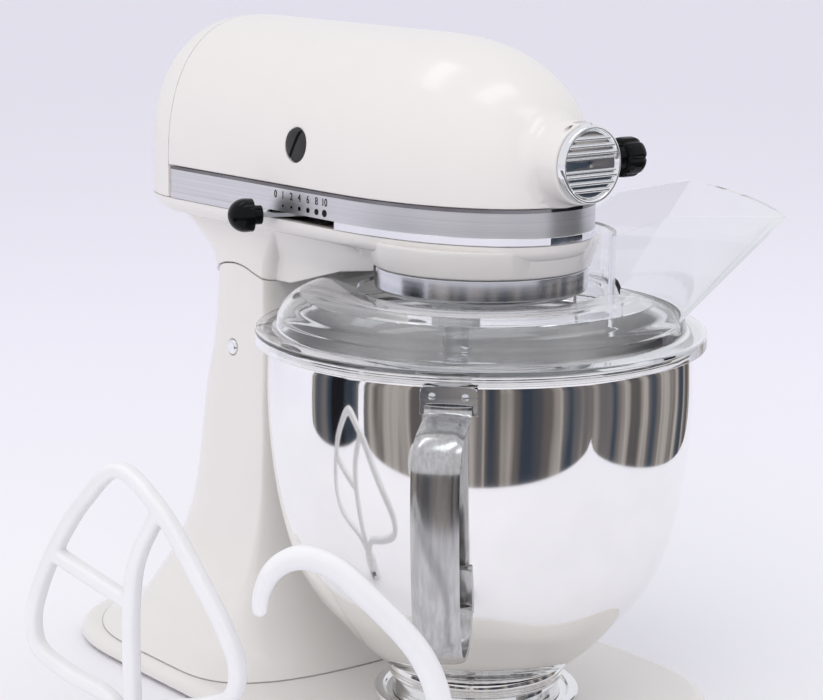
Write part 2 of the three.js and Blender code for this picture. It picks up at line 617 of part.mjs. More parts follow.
function motorHousing() {
  const skirt = head.inset + head.wall;
  const outer = headDome(0, [headRing(skirtBottom, head.inset), headRing(head.bandTop, head.inset),
    headRing(head.bandTop, 0)], domeSteps.outer);
  const inner = headDome(head.wall, [headRing(skirtBottom - overrun, skirt), headRing(head.bandTop, skirt)],
    domeSteps.inner);
  const boss = placed(turned([
    [0, 0], [hub.radius, 0], [hub.radius, hub.face - hub.edge], [hub.radius - hub.edge, hub.face],
    [0, hub.face],
  ], facets.medium), { axis: 'x', at: [0, 0, hubZ] });
  const screwBosses = caseScrews.map((at) => bar('z', caseScrew.boss, skirtBottom,
    skirtBottom + caseScrew.length, at, facets.tiny));
  const knuckleRoom = block(
    [hub.hingeX - hub.knuckleRadius - runningGap, noseEdge],
    [-hub.knuckleHalf - clearance, hub.knuckleHalf + clearance],
    [hingeZ - hub.knuckleRadius - clearance, hubZ + hub.radius + overrun]);
  const shell = join(cut(outer, inner), cut(boss, inner), ...screwBosses);
  return cut(
    shell.intersect(frontHalf), knuckleRoom,
    bar('x', hub.boreRadius, 0, noseEdge, [0, hubZ], facets.medium),
    bar('y', hub.hingeRadius + clearance, -base.half, base.half, [hub.hingeX, hingeZ], facets.tiny),
    bar('y', knob.stemRadius + clearance, 0, base.half, [knob.x, hubZ], facets.tiny),
    bar('y', brush.capRadius + clearance, -base.half, base.half, [brush.x, axisZ]),
    ...caseScrews.map((at) => drill(caseScrew.radius, 0, skirtBottom + caseScrew.length - caseScrew.boss,
    at)),
  );
}

function rearCover() {
  const outer = headDome(0, [headRing(head.bandBottom + clearance, 0), headRing(head.bandTop, 0)],
    domeSteps.outer);
  const inner = headDome(head.wall, [headRing(head.bandBottom - overrun, head.wall),
    headRing(head.bandTop, head.wall)], domeSteps.inner);
  const post = bar('x', cover.screwHead, head.rear, cover.postFront, [0, coverScrewZ]).intersect(outer);
  const vents = Array.from({ length: cover.vents }, (_, i) => {
    const y = (i - (cover.vents - 1) / 2) * cover.ventPitch;
    return block([2 * base.rear, cover.ventFront], [y - cover.ventWide / 2, y + cover.ventWide / 2],
      [cover.ventZ, cover.ventZ + cover.ventTall]);
  });
  return cut(
    join(cut(outer, inner), post).intersect(rearHalf), ...vents,
    bar('x', cover.screwRadius + clearance, 2 * base.rear, 0, [0, coverScrewZ], facets.tiny),
    bar('x', cover.screwHead + clearance, 2 * base.rear, cover.screwSeat, [0, coverScrewZ], facets.tiny),
  );
}

// The screw head faces the rear.
function rearCoverScrew() {
  const length = cover.screwFront - cover.screwSeat;
  const screw = slottedScrew(cover.screwRadius, cover.screwHead, 0, length, length + cover.headThick);
  return solid(geometryOf(screw).rotateY(-Math.PI / 2).translate(cover.screwFront - clearance, 0,
    coverScrewZ));
}

add(tiltHead, 'motor_housing', motorHousing(), paint);
add(tiltHead, 'rear_cover', rearCover(), paint);
add(tiltHead, 'rear_cover_screw', rearCoverScrew(), steel);

const caseFloorTop = gearCase.floor + gearCase.floorThick;
const standing = caseFloorTop + clearance;
const planetAt = [planet.offset * Math.cos(radians(planet.angle)),
  planet.offset * Math.sin(radians(planet.angle))];

// Under the head the case is as wide as the column, and it swells towards the band. Each level: height,
// rear, where the rounded rear begins, where the rounded front begins, front.
const swellLevels = [
  [gearCase.hollowLow, -184, -150, -124, -114],
  [222, -189, -153, -122, -112],
  [236, -208, -168, -116, -106],
  [gearCase.floor, -230, -184, -108, -98],
];

function gearCaseCasting() {
  // Each level of the tray: height below the band, inset of the sides, inset of the rear.
  const trayLevels = [[8, 3.5, 14], [4, 1, 5], [0, 0, 0]];
  const tray = loft(trayLevels.map(([drop, inset, rearInset]) => planRing({
    half: head.half - inset, rear: head.rear + rearInset, rearStart: head.rearStart,
    nose: head.nose - inset, noseStart: head.noseStart, power: head.planPower, nosePower: head.planPower,
  }, head.bandBottom - drop)));
  const lip = loft([headRing(gearCase.floor, head.inset), headRing(lipTop, head.inset)]).intersect(frontHalf);
  const skirt = head.inset + head.wall;
  const pocket = loft([headRing(caseFloorTop, skirt), headRing(lipTop + overrun, skirt)]);
  const cone = turned([
    [0, gearCase.noseBottom], [gearCase.noseRadius, gearCase.noseBottom],
    [gearCase.coneRadius, gearCase.coneTop], [0, gearCase.coneTop],
  ], facets.large);
  const swell = loft(swellLevels.map(([z, rear, rearStart, noseStart, nose]) => planRing({
    half: gearCase.swellHalf, rear, rearStart, nose, noseStart, power: head.planPower,
    nosePower: column.frontPower,
  }, z, facets.medium)));
  const armHalves = [
    [gearCase.hollowLow, gearCase.armLowHalf], [gearCase.armStepZ, gearCase.armLowHalf],
    [gearCase.floor, gearCase.armHighHalf],
  ];
  const arm = loft(armHalves.map(([z, half]) => planRing({
    half, rear: gearCase.armRear, rearStart: gearCase.armRearStart, nose: gearCase.armFront,
    noseStart: gearCase.armFront - overrun, power: head.planPower, nosePower: column.frontPower,
  }, z, facets.small)));
  const blockSide = upright([
    [gearCase.armFront, gearCase.floor], [gearCase.armFront, gearCase.armFrontLow],
    [gearCase.armStepX, gearCase.armStepZ],
    ...seamLine(seamSlope.slice(1), runningGap, pin.seamMiddle), [base.rear, swellLevels[1][0]],
    [base.rear, gearCase.floor],
  ], -base.half, base.half);
  const blockBody = join(swell, arm).intersect(blockSide);
  // The rear of the block comes down over the column's rear wall as far as the tilting head allows.
  const hoodRadius = pin.seamRadius + runningGap;
  const hoodLine = arc(hoodRadius, pin.seamMiddle, pin.hoodEnd, facets.tiny, [pin.x, pin.z]);
  const hood = columnBody(0, overrun).intersect(upright([
    ...hoodLine, [base.rear, hoodLine.at(-1)[1]], [base.rear, gearCase.floor],
    [hoodLine[0][0], gearCase.floor],
  ], -base.half, base.half));
  const hollow = block(
    [gearCase.hollowRear, gearCase.hollowFront],
    [gearCase.hollowInset - head.half, head.half - gearCase.hollowInset],
    [gearCase.hollowLow, gearCase.roof]);
  const dripRoom = bar('z', drip.room, 0, gearCase.noseBottom, [0, 0], facets.large);
  const spigot = bar('z', drip.spigot, drip.spigotLow, gearCase.noseBottom + overrun, [0, 0], facets.large);
  const leverSlot = block(
    [band.slotRear - overrun / 2, band.slotFront], [-head.half, -head.half + 2 * overrun],
    [head.bandBottom, head.bandBottom + band.slotHeight + runningGap]);
  const posts = caseScrews.map((at) => bar('z', caseScrew.boss, gearCase.floor, lipTop, at, facets.tiny));
  const shell = join(cut(join(tray, lip), pocket, leverSlot), cone, blockBody, hood, ...posts);
  const lugs = sides.flatMap(([, side]) => {
    const lugOuter = gearCase.lugInner + gearCase.lugThick;
    const [y0, y1] = side > 0 ? [gearCase.lugInner, lugOuter] : [-lugOuter, -gearCase.lugInner];
    return [
      bar('y', gearCase.lugRadius, y0, y1, [pin.x, pin.z]),
      block([pin.x - gearCase.lugHalf, pin.x + gearCase.lugHalf], [y0, y1], [pin.z, gearCase.floor]),
    ];
  });
  const casting = join(
    cut(shell, hollow, dripRoom), spigot, ...lugs,
    bar('z', gearCase.stopRadius, gearCase.stopBottom, gearCase.floor, [gearCase.stopX, 0]),
    bar('z', gearCase.bearingBoss, gearCase.floor, gearCase.bearingTop, [0, 0], facets.medium),
    bar('z', lever.pivotRadius, gearCase.floor, lever.pivotTop, [lever.pivotX, lever.pivotY], facets.tiny),
  );
  return cut(
    casting,
    bar('z', gears.ring.outer + clearance, 0, gearCase.floor, [0, 0], facets.large),
    bar('z', gears.centre.shaftRadius + runningGap, 0, crownZ),
    bar('y', pin.radius + clearance, -base.half, base.half, [pin.x, pin.z]),
    bar('z', gland.radius + clearance, 0, head.bandBottom, [gland.x, gland.y]),
    ...caseScrews.flatMap((at) => [
      drill(caseScrew.radius, 0, crownZ, at),
      drill(caseScrew.head, 0, head.bandBottom - overrun, at),
    ]),
  );
}

function trimBand() {
  const [low, high] = [head.bandBottom + clearance, head.bandTop - clearance];
  const outer = loft([headRing(low, 0), headRing(high, 0)]);
  const inner = loft([headRing(low - overrun, band.thick), headRing(high + overrun, band.thick)]);
  const slotTop = head.bandBottom + band.slotHeight;
  const slot = upright([
    [band.slotRear, 0], [band.slotRear, head.bandBottom], [band.slotRear + band.slotPoint, slotTop],
    [band.slotFront, slotTop], [band.slotFront, 0],
  ], -base.half, -head.half / 2);
  return cut(outer, inner, slot, block([2 * base.rear, band.rear], [-base.half, base.half], [0, crownZ]));
}

function dripRing() {
  const inner = drip.radius - drip.wall;
  const height = drip.top - drip.bottom;
  const edgeShares = [[0, 0], [0.5, 0], [1, 0.12], [1, 0.96], [0.6, 1], [0, 1]];
  return turned(edgeShares.map(([r, z]) => [inner + drip.wall * r, drip.bottom + height * z]), facets.large);
}

const caseSeat = head.bandBottom - overrun;
add(tiltHead, 'gear_case', gearCaseCasting(), paint);
caseScrews.forEach(([x, y], i) => add(tiltHead, `case_screw_${i + 1}`, turned([
  [0, caseSeat - clearance - caseScrew.headThick],
  [caseScrew.head, caseSeat - clearance - caseScrew.headThick],
  [caseScrew.head, caseSeat - clearance], [caseScrew.radius, caseSeat - clearance],
  [caseScrew.radius, skirtBottom + caseScrew.length / 2], [0, skirtBottom + caseScrew.length / 2],
], facets.tiny), steel, [x, y, 0]));
add(tiltHead, 'trim_band', trimBand(), brushed);
add(tiltHead, 'drip_ring', dripRing(), chrome);

// Attachment hub: hinged cover, its pin, and the thumb screw that holds an attachment

function hubCover() {
  const back = hub.face + clearance;
  const front = back + hub.coverThick;
  const rimFront = back + hub.rimThick;
  const rimInner = hub.coverRadius - hub.rimWidth;
  const disc = placed(turned([
    [0, back], [hub.coverRadius, back], [hub.coverRadius, rimFront - clearance],
    [hub.coverRadius - clearance, rimFront],
    [rimInner, rimFront], [rimInner, front], [0, front],
  ], facets.medium), { axis: 'x', at: [0, 0, hubZ] });
  const ribs = sides.flatMap(([, side]) => Array.from({ length: hub.ribs }, (_, i) => {
    const z = hubZ + side * (hub.ribStart + i * hub.ribPitch);
    const half = Math.sqrt(rimInner ** 2 - (z - hubZ) ** 2) + hub.rimWidth / 2;
    return block([front - clearance, front + hub.ribRise], [-half, half],
      [z - hub.ribWidth / 2, z + hub.ribWidth / 2]);
  }));
  const knuckle = join(
    bar('y', hub.knuckleRadius, -hub.knuckleHalf, hub.knuckleHalf, [hub.hingeX, hingeZ], facets.tiny),
    block([hub.hingeX, back + clearance], [-hub.knuckleHalf, hub.knuckleHalf],
    [hingeZ - hub.knuckleRadius, hingeZ]));
  return cut(
    join(disc, ...ribs, knuckle),
    bar('y', hub.hingeRadius + clearance, -hub.radius, hub.radius, [hub.hingeX, hingeZ], facets.tiny));
}

function hubKnob() {
  const grip = knob.start + knob.collar;
  const gripLength = knob.length - knob.collar;
  const knobShares = [[0.72, 0], [1, 0.1], [1, 0.78], [0.86, 0.94], [0.6, 1], [0, 1]];
  const body = turned([
    [0, knob.stemStart], [knob.stemRadius, knob.stemStart], [knob.stemRadius, knob.start],
    [knob.collarRadius, knob.start],
    ...shaped(knob.radius, grip, gripLength, knobShares),
  ], facets.medium);
  const flutes = circle(knob.radius + knob.fluteRadius / 2, knob.flutes).map((at) => bar(
    'z', knob.fluteRadius, grip - overrun / 4, grip + knob.length, at, facets.tiny));
  return placed(cut(body, ...flutes), { axis: 'y', at: [knob.x, 0, hubZ] });
}

add(tiltHead, 'hub_cover', hubCover(), chrome);
add(tiltHead, 'hub_hinge_pin', bar('y', hub.hingeRadius, -hub.hingeHalf, hub.hingeHalf, [hub.hingeX, hingeZ],
  facets.tiny), steel);
add(tiltHead, 'hub_knob', hubKnob(), black);

// Motor: stator and coils, armature on its shaft with the worm, brushes, fan and bearings

const onAxis = (points, segments) => placed(turned(points, segments), { axis: 'x', at: [0, 0, axisZ] });

// A flat outline in y and z, thickened from x0 to x1.
function facing(points, x0, x1, holes = []) {
  const turnedOver = raised(points.map(([y, z]) => [-z, y]), x0, x1,
    holes.map((hole) => hole.map(([y, z]) => [-z, y])));
  return solid(geometryOf(turnedOver).rotateY(Math.PI / 2));
}

function fieldWindow(margin) {
  const { windowInner, windowOuter, windowHalf } = motor;
  return sides.map(([, side]) => [
    [windowInner - margin, -windowHalf - margin], [windowOuter + margin, -windowHalf - margin],
    [windowOuter + margin, windowHalf + margin], [windowInner - margin, windowHalf + margin],
  ].map(([y, z]) => [side * y, axisZ + z]));
}

function stator() {
  const outline = circle(motor.statorRadius, facets.medium, [0, axisZ]);
  const bore = circle(motor.statorBore, facets.medium, [0, axisZ]);
  return facing(outline, motor.statorRear, motor.statorFront, [bore, ...fieldWindow(clearance)]);
}

function fieldCoils() {
  const ring = (x0, x1) => onAxis([
    [motor.windowInner, x0], [motor.windowOuter, x0], [motor.windowOuter, x1], [motor.windowInner, x1],
  ], facets.medium);
  const { statorRear, statorFront, coilOverhang } = motor;
  const bars = fieldWindow(0).map((outline) => facing(outline, statorRear - coilOverhang / 2,
    statorFront + coilOverhang / 2));
  return join(
    ring(statorRear - coilOverhang, statorRear - clearance),
    ring(statorFront + clearance, statorFront + coilOverhang), ...bars);
}

// The worm is one thread round the front of the motor shaft.
function wormThread() {
  const { tip, depth, start, end, pitch, stepsPerPitch, crestShare } = gears.worm;
  const steps = Math.round(((end - start) / pitch) * stepsPerPitch);
  const corners = Array.from({ length: gears.worm.sides }, (_, j) => j / gears.worm.sides);
  return loft(Array.from({ length: steps + 1 }, (_, i) => corners.map((cornerShare) => {
    const alongShare = (i / stepsPerPitch) % 1;
    const turnShare = (1 + cornerShare - alongShare) % 1;
    const fromCrest = Math.abs(turnShare - 1 / 2);
    const radius = tip - depth * Math.min(1, fromCrest / crestShare);
    const angle = 2 * Math.PI * cornerShare;
    return new THREE.Vector3(
      start + ((end - start) * i) / steps, radius * Math.cos(angle), axisZ + radius * Math.sin(angle));
  })));
}

function motorShaft() {
  const neck = gears.worm.start + clearance;
  return join(onAxis([[0, motor.rear], [motor.shaftRadius, motor.rear], [motor.shaftRadius, neck],
    [0, neck]]), wormThread());
}

const shaftBore = motor.shaftRadius + clearance;

function armature() {
  const { rotorRadius, rotorRear, rotorFront, commutatorRadius, commutatorRear, commutatorFront,
    neckRadius } = motor;
  const body = onAxis([
    [shaftBore, rotorRear], [rotorRadius, rotorRear], [rotorRadius, rotorFront], [neckRadius, rotorFront],
    [neckRadius, commutatorRear], [commutatorRadius, commutatorRear], [commutatorRadius, commutatorFront],
    [shaftBore, commutatorFront],
  ], facets.medium);
  const half = motor.slotWidth / 2;
  const slots = Array.from({ length: motor.rotorSlots }, (_, i) => solid(
    geometryOf(block([rotorRear - overrun, rotorFront + overrun], [-half, half],
    [rotorRadius - motor.slotDepth, rotorRadius + overrun]))
      .rotateX(radians((360 * (i + 0.5)) / motor.rotorSlots)).translate(0, 0, axisZ)));
  return cut(body, ...slots);
}

function coolingFan() {
  const { fanRadius, fanHub, fanRear, fanThick, fanDisc } = motor;
  const discFront = fanRear + fanDisc;
  const disc = onAxis([
    [shaftBore, fanRear], [fanRadius, fanRear], [fanRadius, discFront], [fanHub, discFront],
    [fanHub, fanRear + fanThick], [shaftBore, fanRear + fanThick],
  ]);
  const blades = Array.from({ length: motor.fanBlades }, (_, i) => solid(
    geometryOf(block([fanRear + fanDisc / 2, fanRear + fanThick],
    [-motor.bladeThick / 2, motor.bladeThick / 2], [fanHub - fanDisc, fanRadius - fanDisc]))
      .rotateX(radians((360 * i) / motor.fanBlades)).translate(0, 0, axisZ)));
  return join(disc, ...blades);
}

function shaftBearing(x) {
  const half = motor.bearingThick / 2;
  return onAxis([[shaftBore, x - half], [motor.bearingRadius, x - half], [motor.bearingRadius, x + half],
    [shaftBore, x + half]]);
}

function brushHolder(side) {
  const capStart = capTop - brush.capThick;
  const tubeBore = brush.coal + clearance;
  const capShares = [[1, 0], [1, 0.8], [0.86, 1], [0, 1]];
  const body = turned([
    [tubeBore, brush.tubeStart], [brush.tubeRadius, brush.tubeStart], [brush.tubeRadius, capStart],
    ...shaped(brush.capRadius, capStart, brush.capThick, capShares), [0, capStart], [tubeBore, capStart],
  ]);
  const slot = block(
    [-brush.capRadius, brush.capRadius], [-brush.slot / 2, brush.slot / 2],
    [capTop - brush.capThick / 3, capTop + overrun]);
  const made = placed(cut(body, placed(slot, { spin: 45 })), { axis: 'y', at: [brush.x, 0, axisZ] });
  return side > 0 ? made : made.mirror([0, 1, 0]);
}

add(tiltHead, 'motor_stator', stator(), steel);
add(tiltHead, 'field_coils', fieldCoils(), copper);
add(tiltHead, 'motor_shaft', motorShaft(), steel);
add(tiltHead, 'armature', armature(), copper);
add(tiltHead, 'cooling_fan', coolingFan(), black);
add(tiltHead, 'front_bearing', shaftBearing(motor.frontBearing), bronze);
add(tiltHead, 'rear_bearing', shaftBearing(motor.rearBearing), bronze);
sides.forEach(([name, side]) => {
  const [y0, y1] = [side * brush.coalStart, side * brush.coalEnd].sort((a, b) => a - b);
  add(tiltHead, `brush_holder_${name}`, brushHolder(side), black);
  add(tiltHead, `carbon_brush_${name}`, bar('y', brush.coal, y0, y1, [brush.x, axisZ], facets.tiny), carbon);
});

const bearingHole = circle(motor.bearingRadius + clearance, facets.small, [0, axisZ]);

function rearBearingPlate() {
  const { plateHalf, plateTop, plateCorner, rearBearing, plateThick } = motor;
  return facing([
    [-plateHalf, standing], [plateHalf, standing], [plateHalf, plateTop - plateCorner],
    [plateHalf - plateCorner, plateTop], [plateCorner - plateHalf, plateTop],
    [-plateHalf, plateTop - plateCorner],
  ], rearBearing - plateThick / 2, rearBearing + plateThick / 2, [bearingHole]);
}

function gearBracket() {
  const { bracketTop, bracketArm, bracketHalf, armHalf, frontBearing, plateThick, doorTop, doorSide } = motor;
  const [rear, front] = [frontBearing - plateThick / 2, frontBearing + plateThick / 2];
  const wall = facing([
    [doorSide, standing], [bracketHalf, standing], [bracketHalf, bracketTop], [-bracketHalf, bracketTop],
    [-bracketHalf, doorTop], [doorSide, doorTop],
  ], rear, front, [bearingHole]);
  const { x, y, shaftRadius } = gears.wheel;
  const arm = join(
    block([rear, x], [y - armHalf, y + armHalf], [bracketTop - bracketArm, bracketTop]),
    bar('z', armHalf, bracketTop - bracketArm, bracketTop, [x, y]));
  return cut(join(wall, arm), bar('z', shaftRadius + clearance, bracketTop - 2 * bracketArm,
    bracketTop + overrun, [x, y]));
}

function controlBoard() {
  const { boardX, boardThick, boardHalf, boardTop } = motor;
  return facing(
    [[-boardHalf, standing], [boardHalf, standing], [boardHalf, boardTop], [-boardHalf, boardTop]],
    boardX - boardThick, boardX, [circle(cover.screwRadius + clearance, facets.tiny, [0, coverScrewZ])]);
}

add(tiltHead, 'rear_bearing_plate', rearBearingPlate(), steel);
add(tiltHead, 'gear_bracket', gearBracket(), steel);
add(tiltHead, 'speed_control_board', controlBoard(), carbon);

// Gears

const { wheel, centre, pinion, crown, bevel, ring: ringGear } = gears;
const spurModule = (2 * Math.hypot(wheel.x, wheel.y)) / (centre.teeth + pinion.teeth);
const ringModule = (2 * planet.offset) / (ringGear.teeth - gears.planet.teeth);
const outward = (module, teeth) => [
  module * (teeth / 2 - gears.dedendumShare), module * (teeth / 2 + gears.addendumShare),
];
const wheelBottom = axisZ - wheel.thick / 2;
const [centreTop, towardsWheel] = [centre.bottom + centre.thick, Math.atan2(wheel.y, wheel.x)];

function wormWheel() {
  const outline = toothed(wheel.teeth, wheel.tip - wheel.depth, wheel.tip);
  return raised(outline, wheelBottom, wheelBottom + wheel.thick,
    [circle(wheel.shaftRadius + clearance, facets.small)]);
}

function pinionShaft() {
  const [root, tip] = outward(spurModule, pinion.teeth);
  const halfTooth = Math.PI / pinion.teeth;
  const teeth = raised(
    toothed(pinion.teeth, root, tip, towardsWheel + Math.PI + halfTooth), centre.bottom - pinion.overlap,
    centreTop + pinion.overlap);
  return join(teeth, bar('z', wheel.shaftRadius, standing, wheel.top, [0, 0], facets.small));
}

function centreGear() {
  const [root, tip] = outward(spurModule, centre.teeth);
  const spur = raised(toothed(centre.teeth, root, tip, towardsWheel), centre.bottom, centreTop);
  const crownRoot = centreTop + crown.rise - crown.depth;
  const rimRing = turned([
    [crown.inner, centreTop - crown.depth], [crown.outer, centreTop - crown.depth], [crown.outer, crownRoot],
    [crown.inner, crownRoot],
  ], facets.large);
  const toothWidth = (Math.PI * crown.inner) / crown.teeth / 2;
  const teeth = Array.from({ length: crown.teeth }, (_, i) => placed(
    block([crown.inner + clearance, crown.outer - clearance], [-toothWidth, toothWidth],
    [crownRoot - clearance, centreTop + crown.rise]),
    { spin: (360 * i) / crown.teeth }));
  const spindle = bar('z', centre.shaftRadius, centre.shaftBottom, centre.shaftTop);
  return join(spur, rimRing, spindle, ...teeth);
}

function hubDriveGear() {
  const [start, front] = [bevel.x, bevel.x + bevel.thick];
  const outline = toothed(bevel.teeth, bevel.tip - bevel.depth, bevel.tip).map(([z, y]) => [y, hubZ + z]);
  const barrel = bar('x', hub.shaftRadius, start, hub.shaftFront, [0, hubZ], facets.medium);
  const square = block(
    [hub.shaftFront - hub.squareDepth, noseEdge], [-hub.squareHalf, hub.squareHalf],
    [hubZ - hub.squareHalf, hubZ + hub.squareHalf]);
  return cut(join(facing(outline, start, front), barrel), square);
}

function fixedRing() {
  const half = ringModule * ringGear.teeth / 2;
  const inward = toothed(
    ringGear.teeth, half + ringModule * gears.dedendumShare, half - ringModule * gears.addendumShare,
    radians(planet.angle) + Math.PI / ringGear.teeth);
  return raised(circle(ringGear.outer, facets.large), ringGear.bottom, ringGear.top, [inward]);
}

function planetCarrier() {
  const wheelShares = [[0, 0], [1, 0], [1, 1], [0, 1]];
  const disc = turned(shaped(planet.radius, planet.bottom, planet.top - planet.bottom, wheelShares),
    facets.large);
  const boss = bar('z', planet.bossRadius, planet.bossBottom, planet.top, planetAt);
  return cut(
    join(disc, boss),
    bar('z', shaft.radius + clearance, 0, crownZ, planetAt),
    bar('z', centre.shaftRadius + clearance, centre.shaftBottom - clearance, crownZ));
}

function beaterShaft() {
  const tipTop = shaft.bottom + shaft.tipThick;
  const body = turned([
    [0, shaft.bottom], [shaft.tipRadius, shaft.bottom], [shaft.tipRadius, tipTop], [shaft.radius, tipTop],
    [shaft.radius, shaft.top], [0, shaft.top],
  ]);
  const [root, tip] = outward(ringModule, gears.planet.teeth);
  const teeth = raised(
    toothed(gears.planet.teeth, root, tip, radians(planet.angle)), gears.planet.bottom, gears.planet.top);
  return join(body, teeth, bar('x', shaft.pinRadius, -shaft.pinHalf, shaft.pinHalf, [0, shaft.pinZ],
    facets.tiny));
}

function beaterWasher() {
  const inner = shaft.radius + clearance;
  const top = shaft.washerZ + shaft.washerThick;
  return turned([[inner, shaft.washerZ], [shaft.washerRadius, shaft.washerZ], [shaft.washerRadius, top],
    [inner, top]], facets.medium);
}

add(tiltHead, 'worm_wheel', wormWheel(), bronze, [wheel.x, wheel.y, 0]);
add(tiltHead, 'pinion_shaft', pinionShaft(), steel, [wheel.x, wheel.y, 0]);
add(tiltHead, 'centre_gear', centreGear(), steel);
add(tiltHead, 'hub_drive_gear', hubDriveGear(), steel);
add(tiltHead, 'ring_gear', fixedRing(), iron);
add(tiltHead, 'planet_carrier', planetCarrier(), coat);
add(tiltHead, 'beater_shaft', beaterShaft(), steel, [...planetAt, 0]);
add(tiltHead, 'beater_washer', beaterWasher(), brushed, [...planetAt, 0]);

// Speed lever, its knob, and the bush of the power cord

const atLever = { spin: -lever.rest, at: [lever.pivotX, lever.pivotY, 0] };

function speedLever() {
  const tip = knobStart + lever.plug;
  const blade = raised([
    [-lever.width / 2, lever.tail], [-lever.width / 2, -lever.tail], [-lever.tip / 2, -tip],
    [lever.tip / 2, -tip],
    [lever.width / 2, -lever.tail], [lever.width / 2, lever.tail],
  ], lever.z, lever.z + lever.thick, [circle(lever.pivotRadius + clearance, facets.tiny)]);
  return placed(blade, atLever);
}

function speedKnob() {
  const knobShares = [[0, 0], [0.58, 0], [0.58, 0.2], [0.9, 0.24], [1, 0.45], [0.97, 0.65], [0.8, 0.86],
    [0.45, 0.98], [0, 1]];
  const body = turned(shaped(lever.knobRadius, knobStart, lever.knobLength, knobShares), facets.medium);
  const middle = lever.z + lever.thick / 2;
  const half = lever.tip / 2 + 3 * clearance;
  const upper = solid(geometryOf(body).rotateX(Math.PI / 2).translate(0, 0, middle));
  const socket = block(
    [-half, half], [-knobStart - lever.plug - clearance, -knobStart + overrun],
    [lever.z - clearance, lever.z + lever.thick + clearance]);
  return placed(cut(upper, socket), atLever);
}

function cordBush() {
  const flangeTop = standing + gland.flangeThick;
  return turned([
    [gland.bore, gland.bottom], [gland.radius, gland.bottom], [gland.radius, standing],
    [gland.flange, standing],
    [gland.flange, flangeTop], [gland.bore, flangeTop],
  ]);
}

add(tiltHead, 'speed_lever', speedLever(), steel);
add(tiltHead, 'speed_lever_knob', speedKnob(), black);
add(tiltHead, 'cord_bush', cordBush(), black, [gland.x, gland.y, 0]);

// Bowl, its foot ring and its handle

function bowlShell() {
  const outside = [...bowl.side, ...bowl.rim];
  const inside = moved(bowl.side, bowl.wall).map(([r, z]) => [Math.max(r, 0), z]).reverse();
  inside[inside.length - 1][0] = 0;
  return turned([...outside, ...inside], facets.bowl);
}

const bowlRadius = Math.max(...bowl.side.map(([r]) => r));

function bowlHandle() {
  const line = handle.line.map(([out, z]) => [bowlRadius + out, z]);
  const wallLine = bowl.side.filter(([, z]) => z > line.at(-1)[1] && z < handle.tabTop);
  const tab = moved(wallLine, -handle.thick / 2 - 2 * clearance);
  const strap = upright(ribbon([...line, ...tab], handle.thick), -handle.width / 2, handle.width / 2);
  return placed(strap, { spin: handle.angle });
}

function handleBracket() {
  const innerRadius = bowlRadius + handle.plateGap;
  const halfDegrees = (180 / Math.PI) * Math.asin(handle.plateHalf / innerRadius);
  const outerRadius = innerRadius + handle.plateThick;
  const outline = [
    ...arc(outerRadius, -halfDegrees, halfDegrees, facets.tiny),
    ...arc(innerRadius, halfDegrees, -halfDegrees, facets.tiny),
  ];
  const welds = sides.map(([, side]) => bar(
    'x', handle.weldRadius, innerRadius, outerRadius + handle.weldRise, [side * handle.weldY, handle.weldZ],
    facets.tiny));
  return placed(join(raised(outline, handle.plateBottom, handle.plateTop), ...welds), { spin: handle.angle });
}

add(bowlSet, 'bowl_shell', bowlShell(), mirror);
add(bowlSet, 'bowl_foot', turned(bowl.foot, facets.large), mirror);
add(bowlSet, 'bowl_handle', bowlHandle(), brushed);
add(bowlSet, 'handle_bracket', handleBracket(), brushed);

// Pouring shield with its chute, one clear moulding

// The inner face of the dome lies a wall below its outer face, and a wall inside it where it is steep.
function shieldDome() {
  const { wall, foot, flangeTop, flangeBottom, outer, skirtBottom } = shield;
  const inner = outer - wall;
  const steep = shield.dome.slice(shield.steepFrom).map(([r, z]) => [r - wall, z - wall]);
  const level = shield.dome.slice(0, shield.steepFrom).map(([r, z]) => [r, z - wall]);
  return turned([
    ...shield.dome, [foot, flangeTop], [outer, flangeTop], [outer, skirtBottom], [inner, skirtBottom],
    [inner, flangeBottom], [foot - wall, flangeBottom], ...steep.reverse(), ...level.reverse(),
  ], facets.bowl);
}

// The chute is a wedge of sections round the bowl axis. Its lip dips between its two corners.
function chuteWedge(wall, top) {
  const sections = shield.sections;
  const margin = (180 / Math.PI) * (wall / shield.chuteFoot);
  const [first, last] = [shield.chuteStart + margin, shield.chuteEnd - margin];
  return loft(Array.from({ length: sections }, (_, i) => {
    const share = i / (sections - 1);
    const angle = radians(first + (last - first) * share);
    const lip = shield.lip - shield.lipDip * Math.sin(Math.PI * share) ** shield.lipPower - wall;
    const lean = (lip - shield.chuteFoot) / (shield.lipTop - shield.chuteFootTop);
    return [
      [shield.collar + wall, shield.chuteLow - top], [shield.chuteFoot - wall, shield.chuteLow - top],
      [shield.chuteFoot - wall, shield.chuteFootTop], [lip + lean * top, shield.lipTop + top],
      [shield.bend + (top ? wall : 0), shield.bendTop + top], [shield.collar + wall, shield.collarTop + top],
    ].map(([r, z]) => new THREE.Vector3(r * Math.cos(angle), r * Math.sin(angle), z));
  }));
}

function pouringShield() {
  const opened = chuteWedge(shield.wall, overrun);
  return cut(join(shieldDome(), chuteWedge(0, 0)), opened);
}

add(bowlSet, 'pouring_shield', pouringShield(), clear);

// Flat beater and dough hook, standing on the table on their collars

function collar(size) {
  const collarShares = [[1, 0], [1, 0.86], [0.8, 1], [0, 1]];
  return turned([[0, 0], ...shaped(size.collarRadius, 0, size.collar, collarShares)], facets.medium);
}

function hollowed(body, size) {
  const bore = bar('z', beater.bore, -overrun, size.collar - beater.slot, [0, 0], facets.small);
  const slot = block([-beater.slot / 2, beater.slot / 2], [0, 2 * size.collarRadius],
    [-overrun, beater.slotHigh]);
  const hold = block([-beater.slot / 2, 2 * beater.slot], [0, 2 * size.collarRadius],
    [beater.slotLow, beater.slotHigh]);
  return cut(body, bore, slot, hold);
}

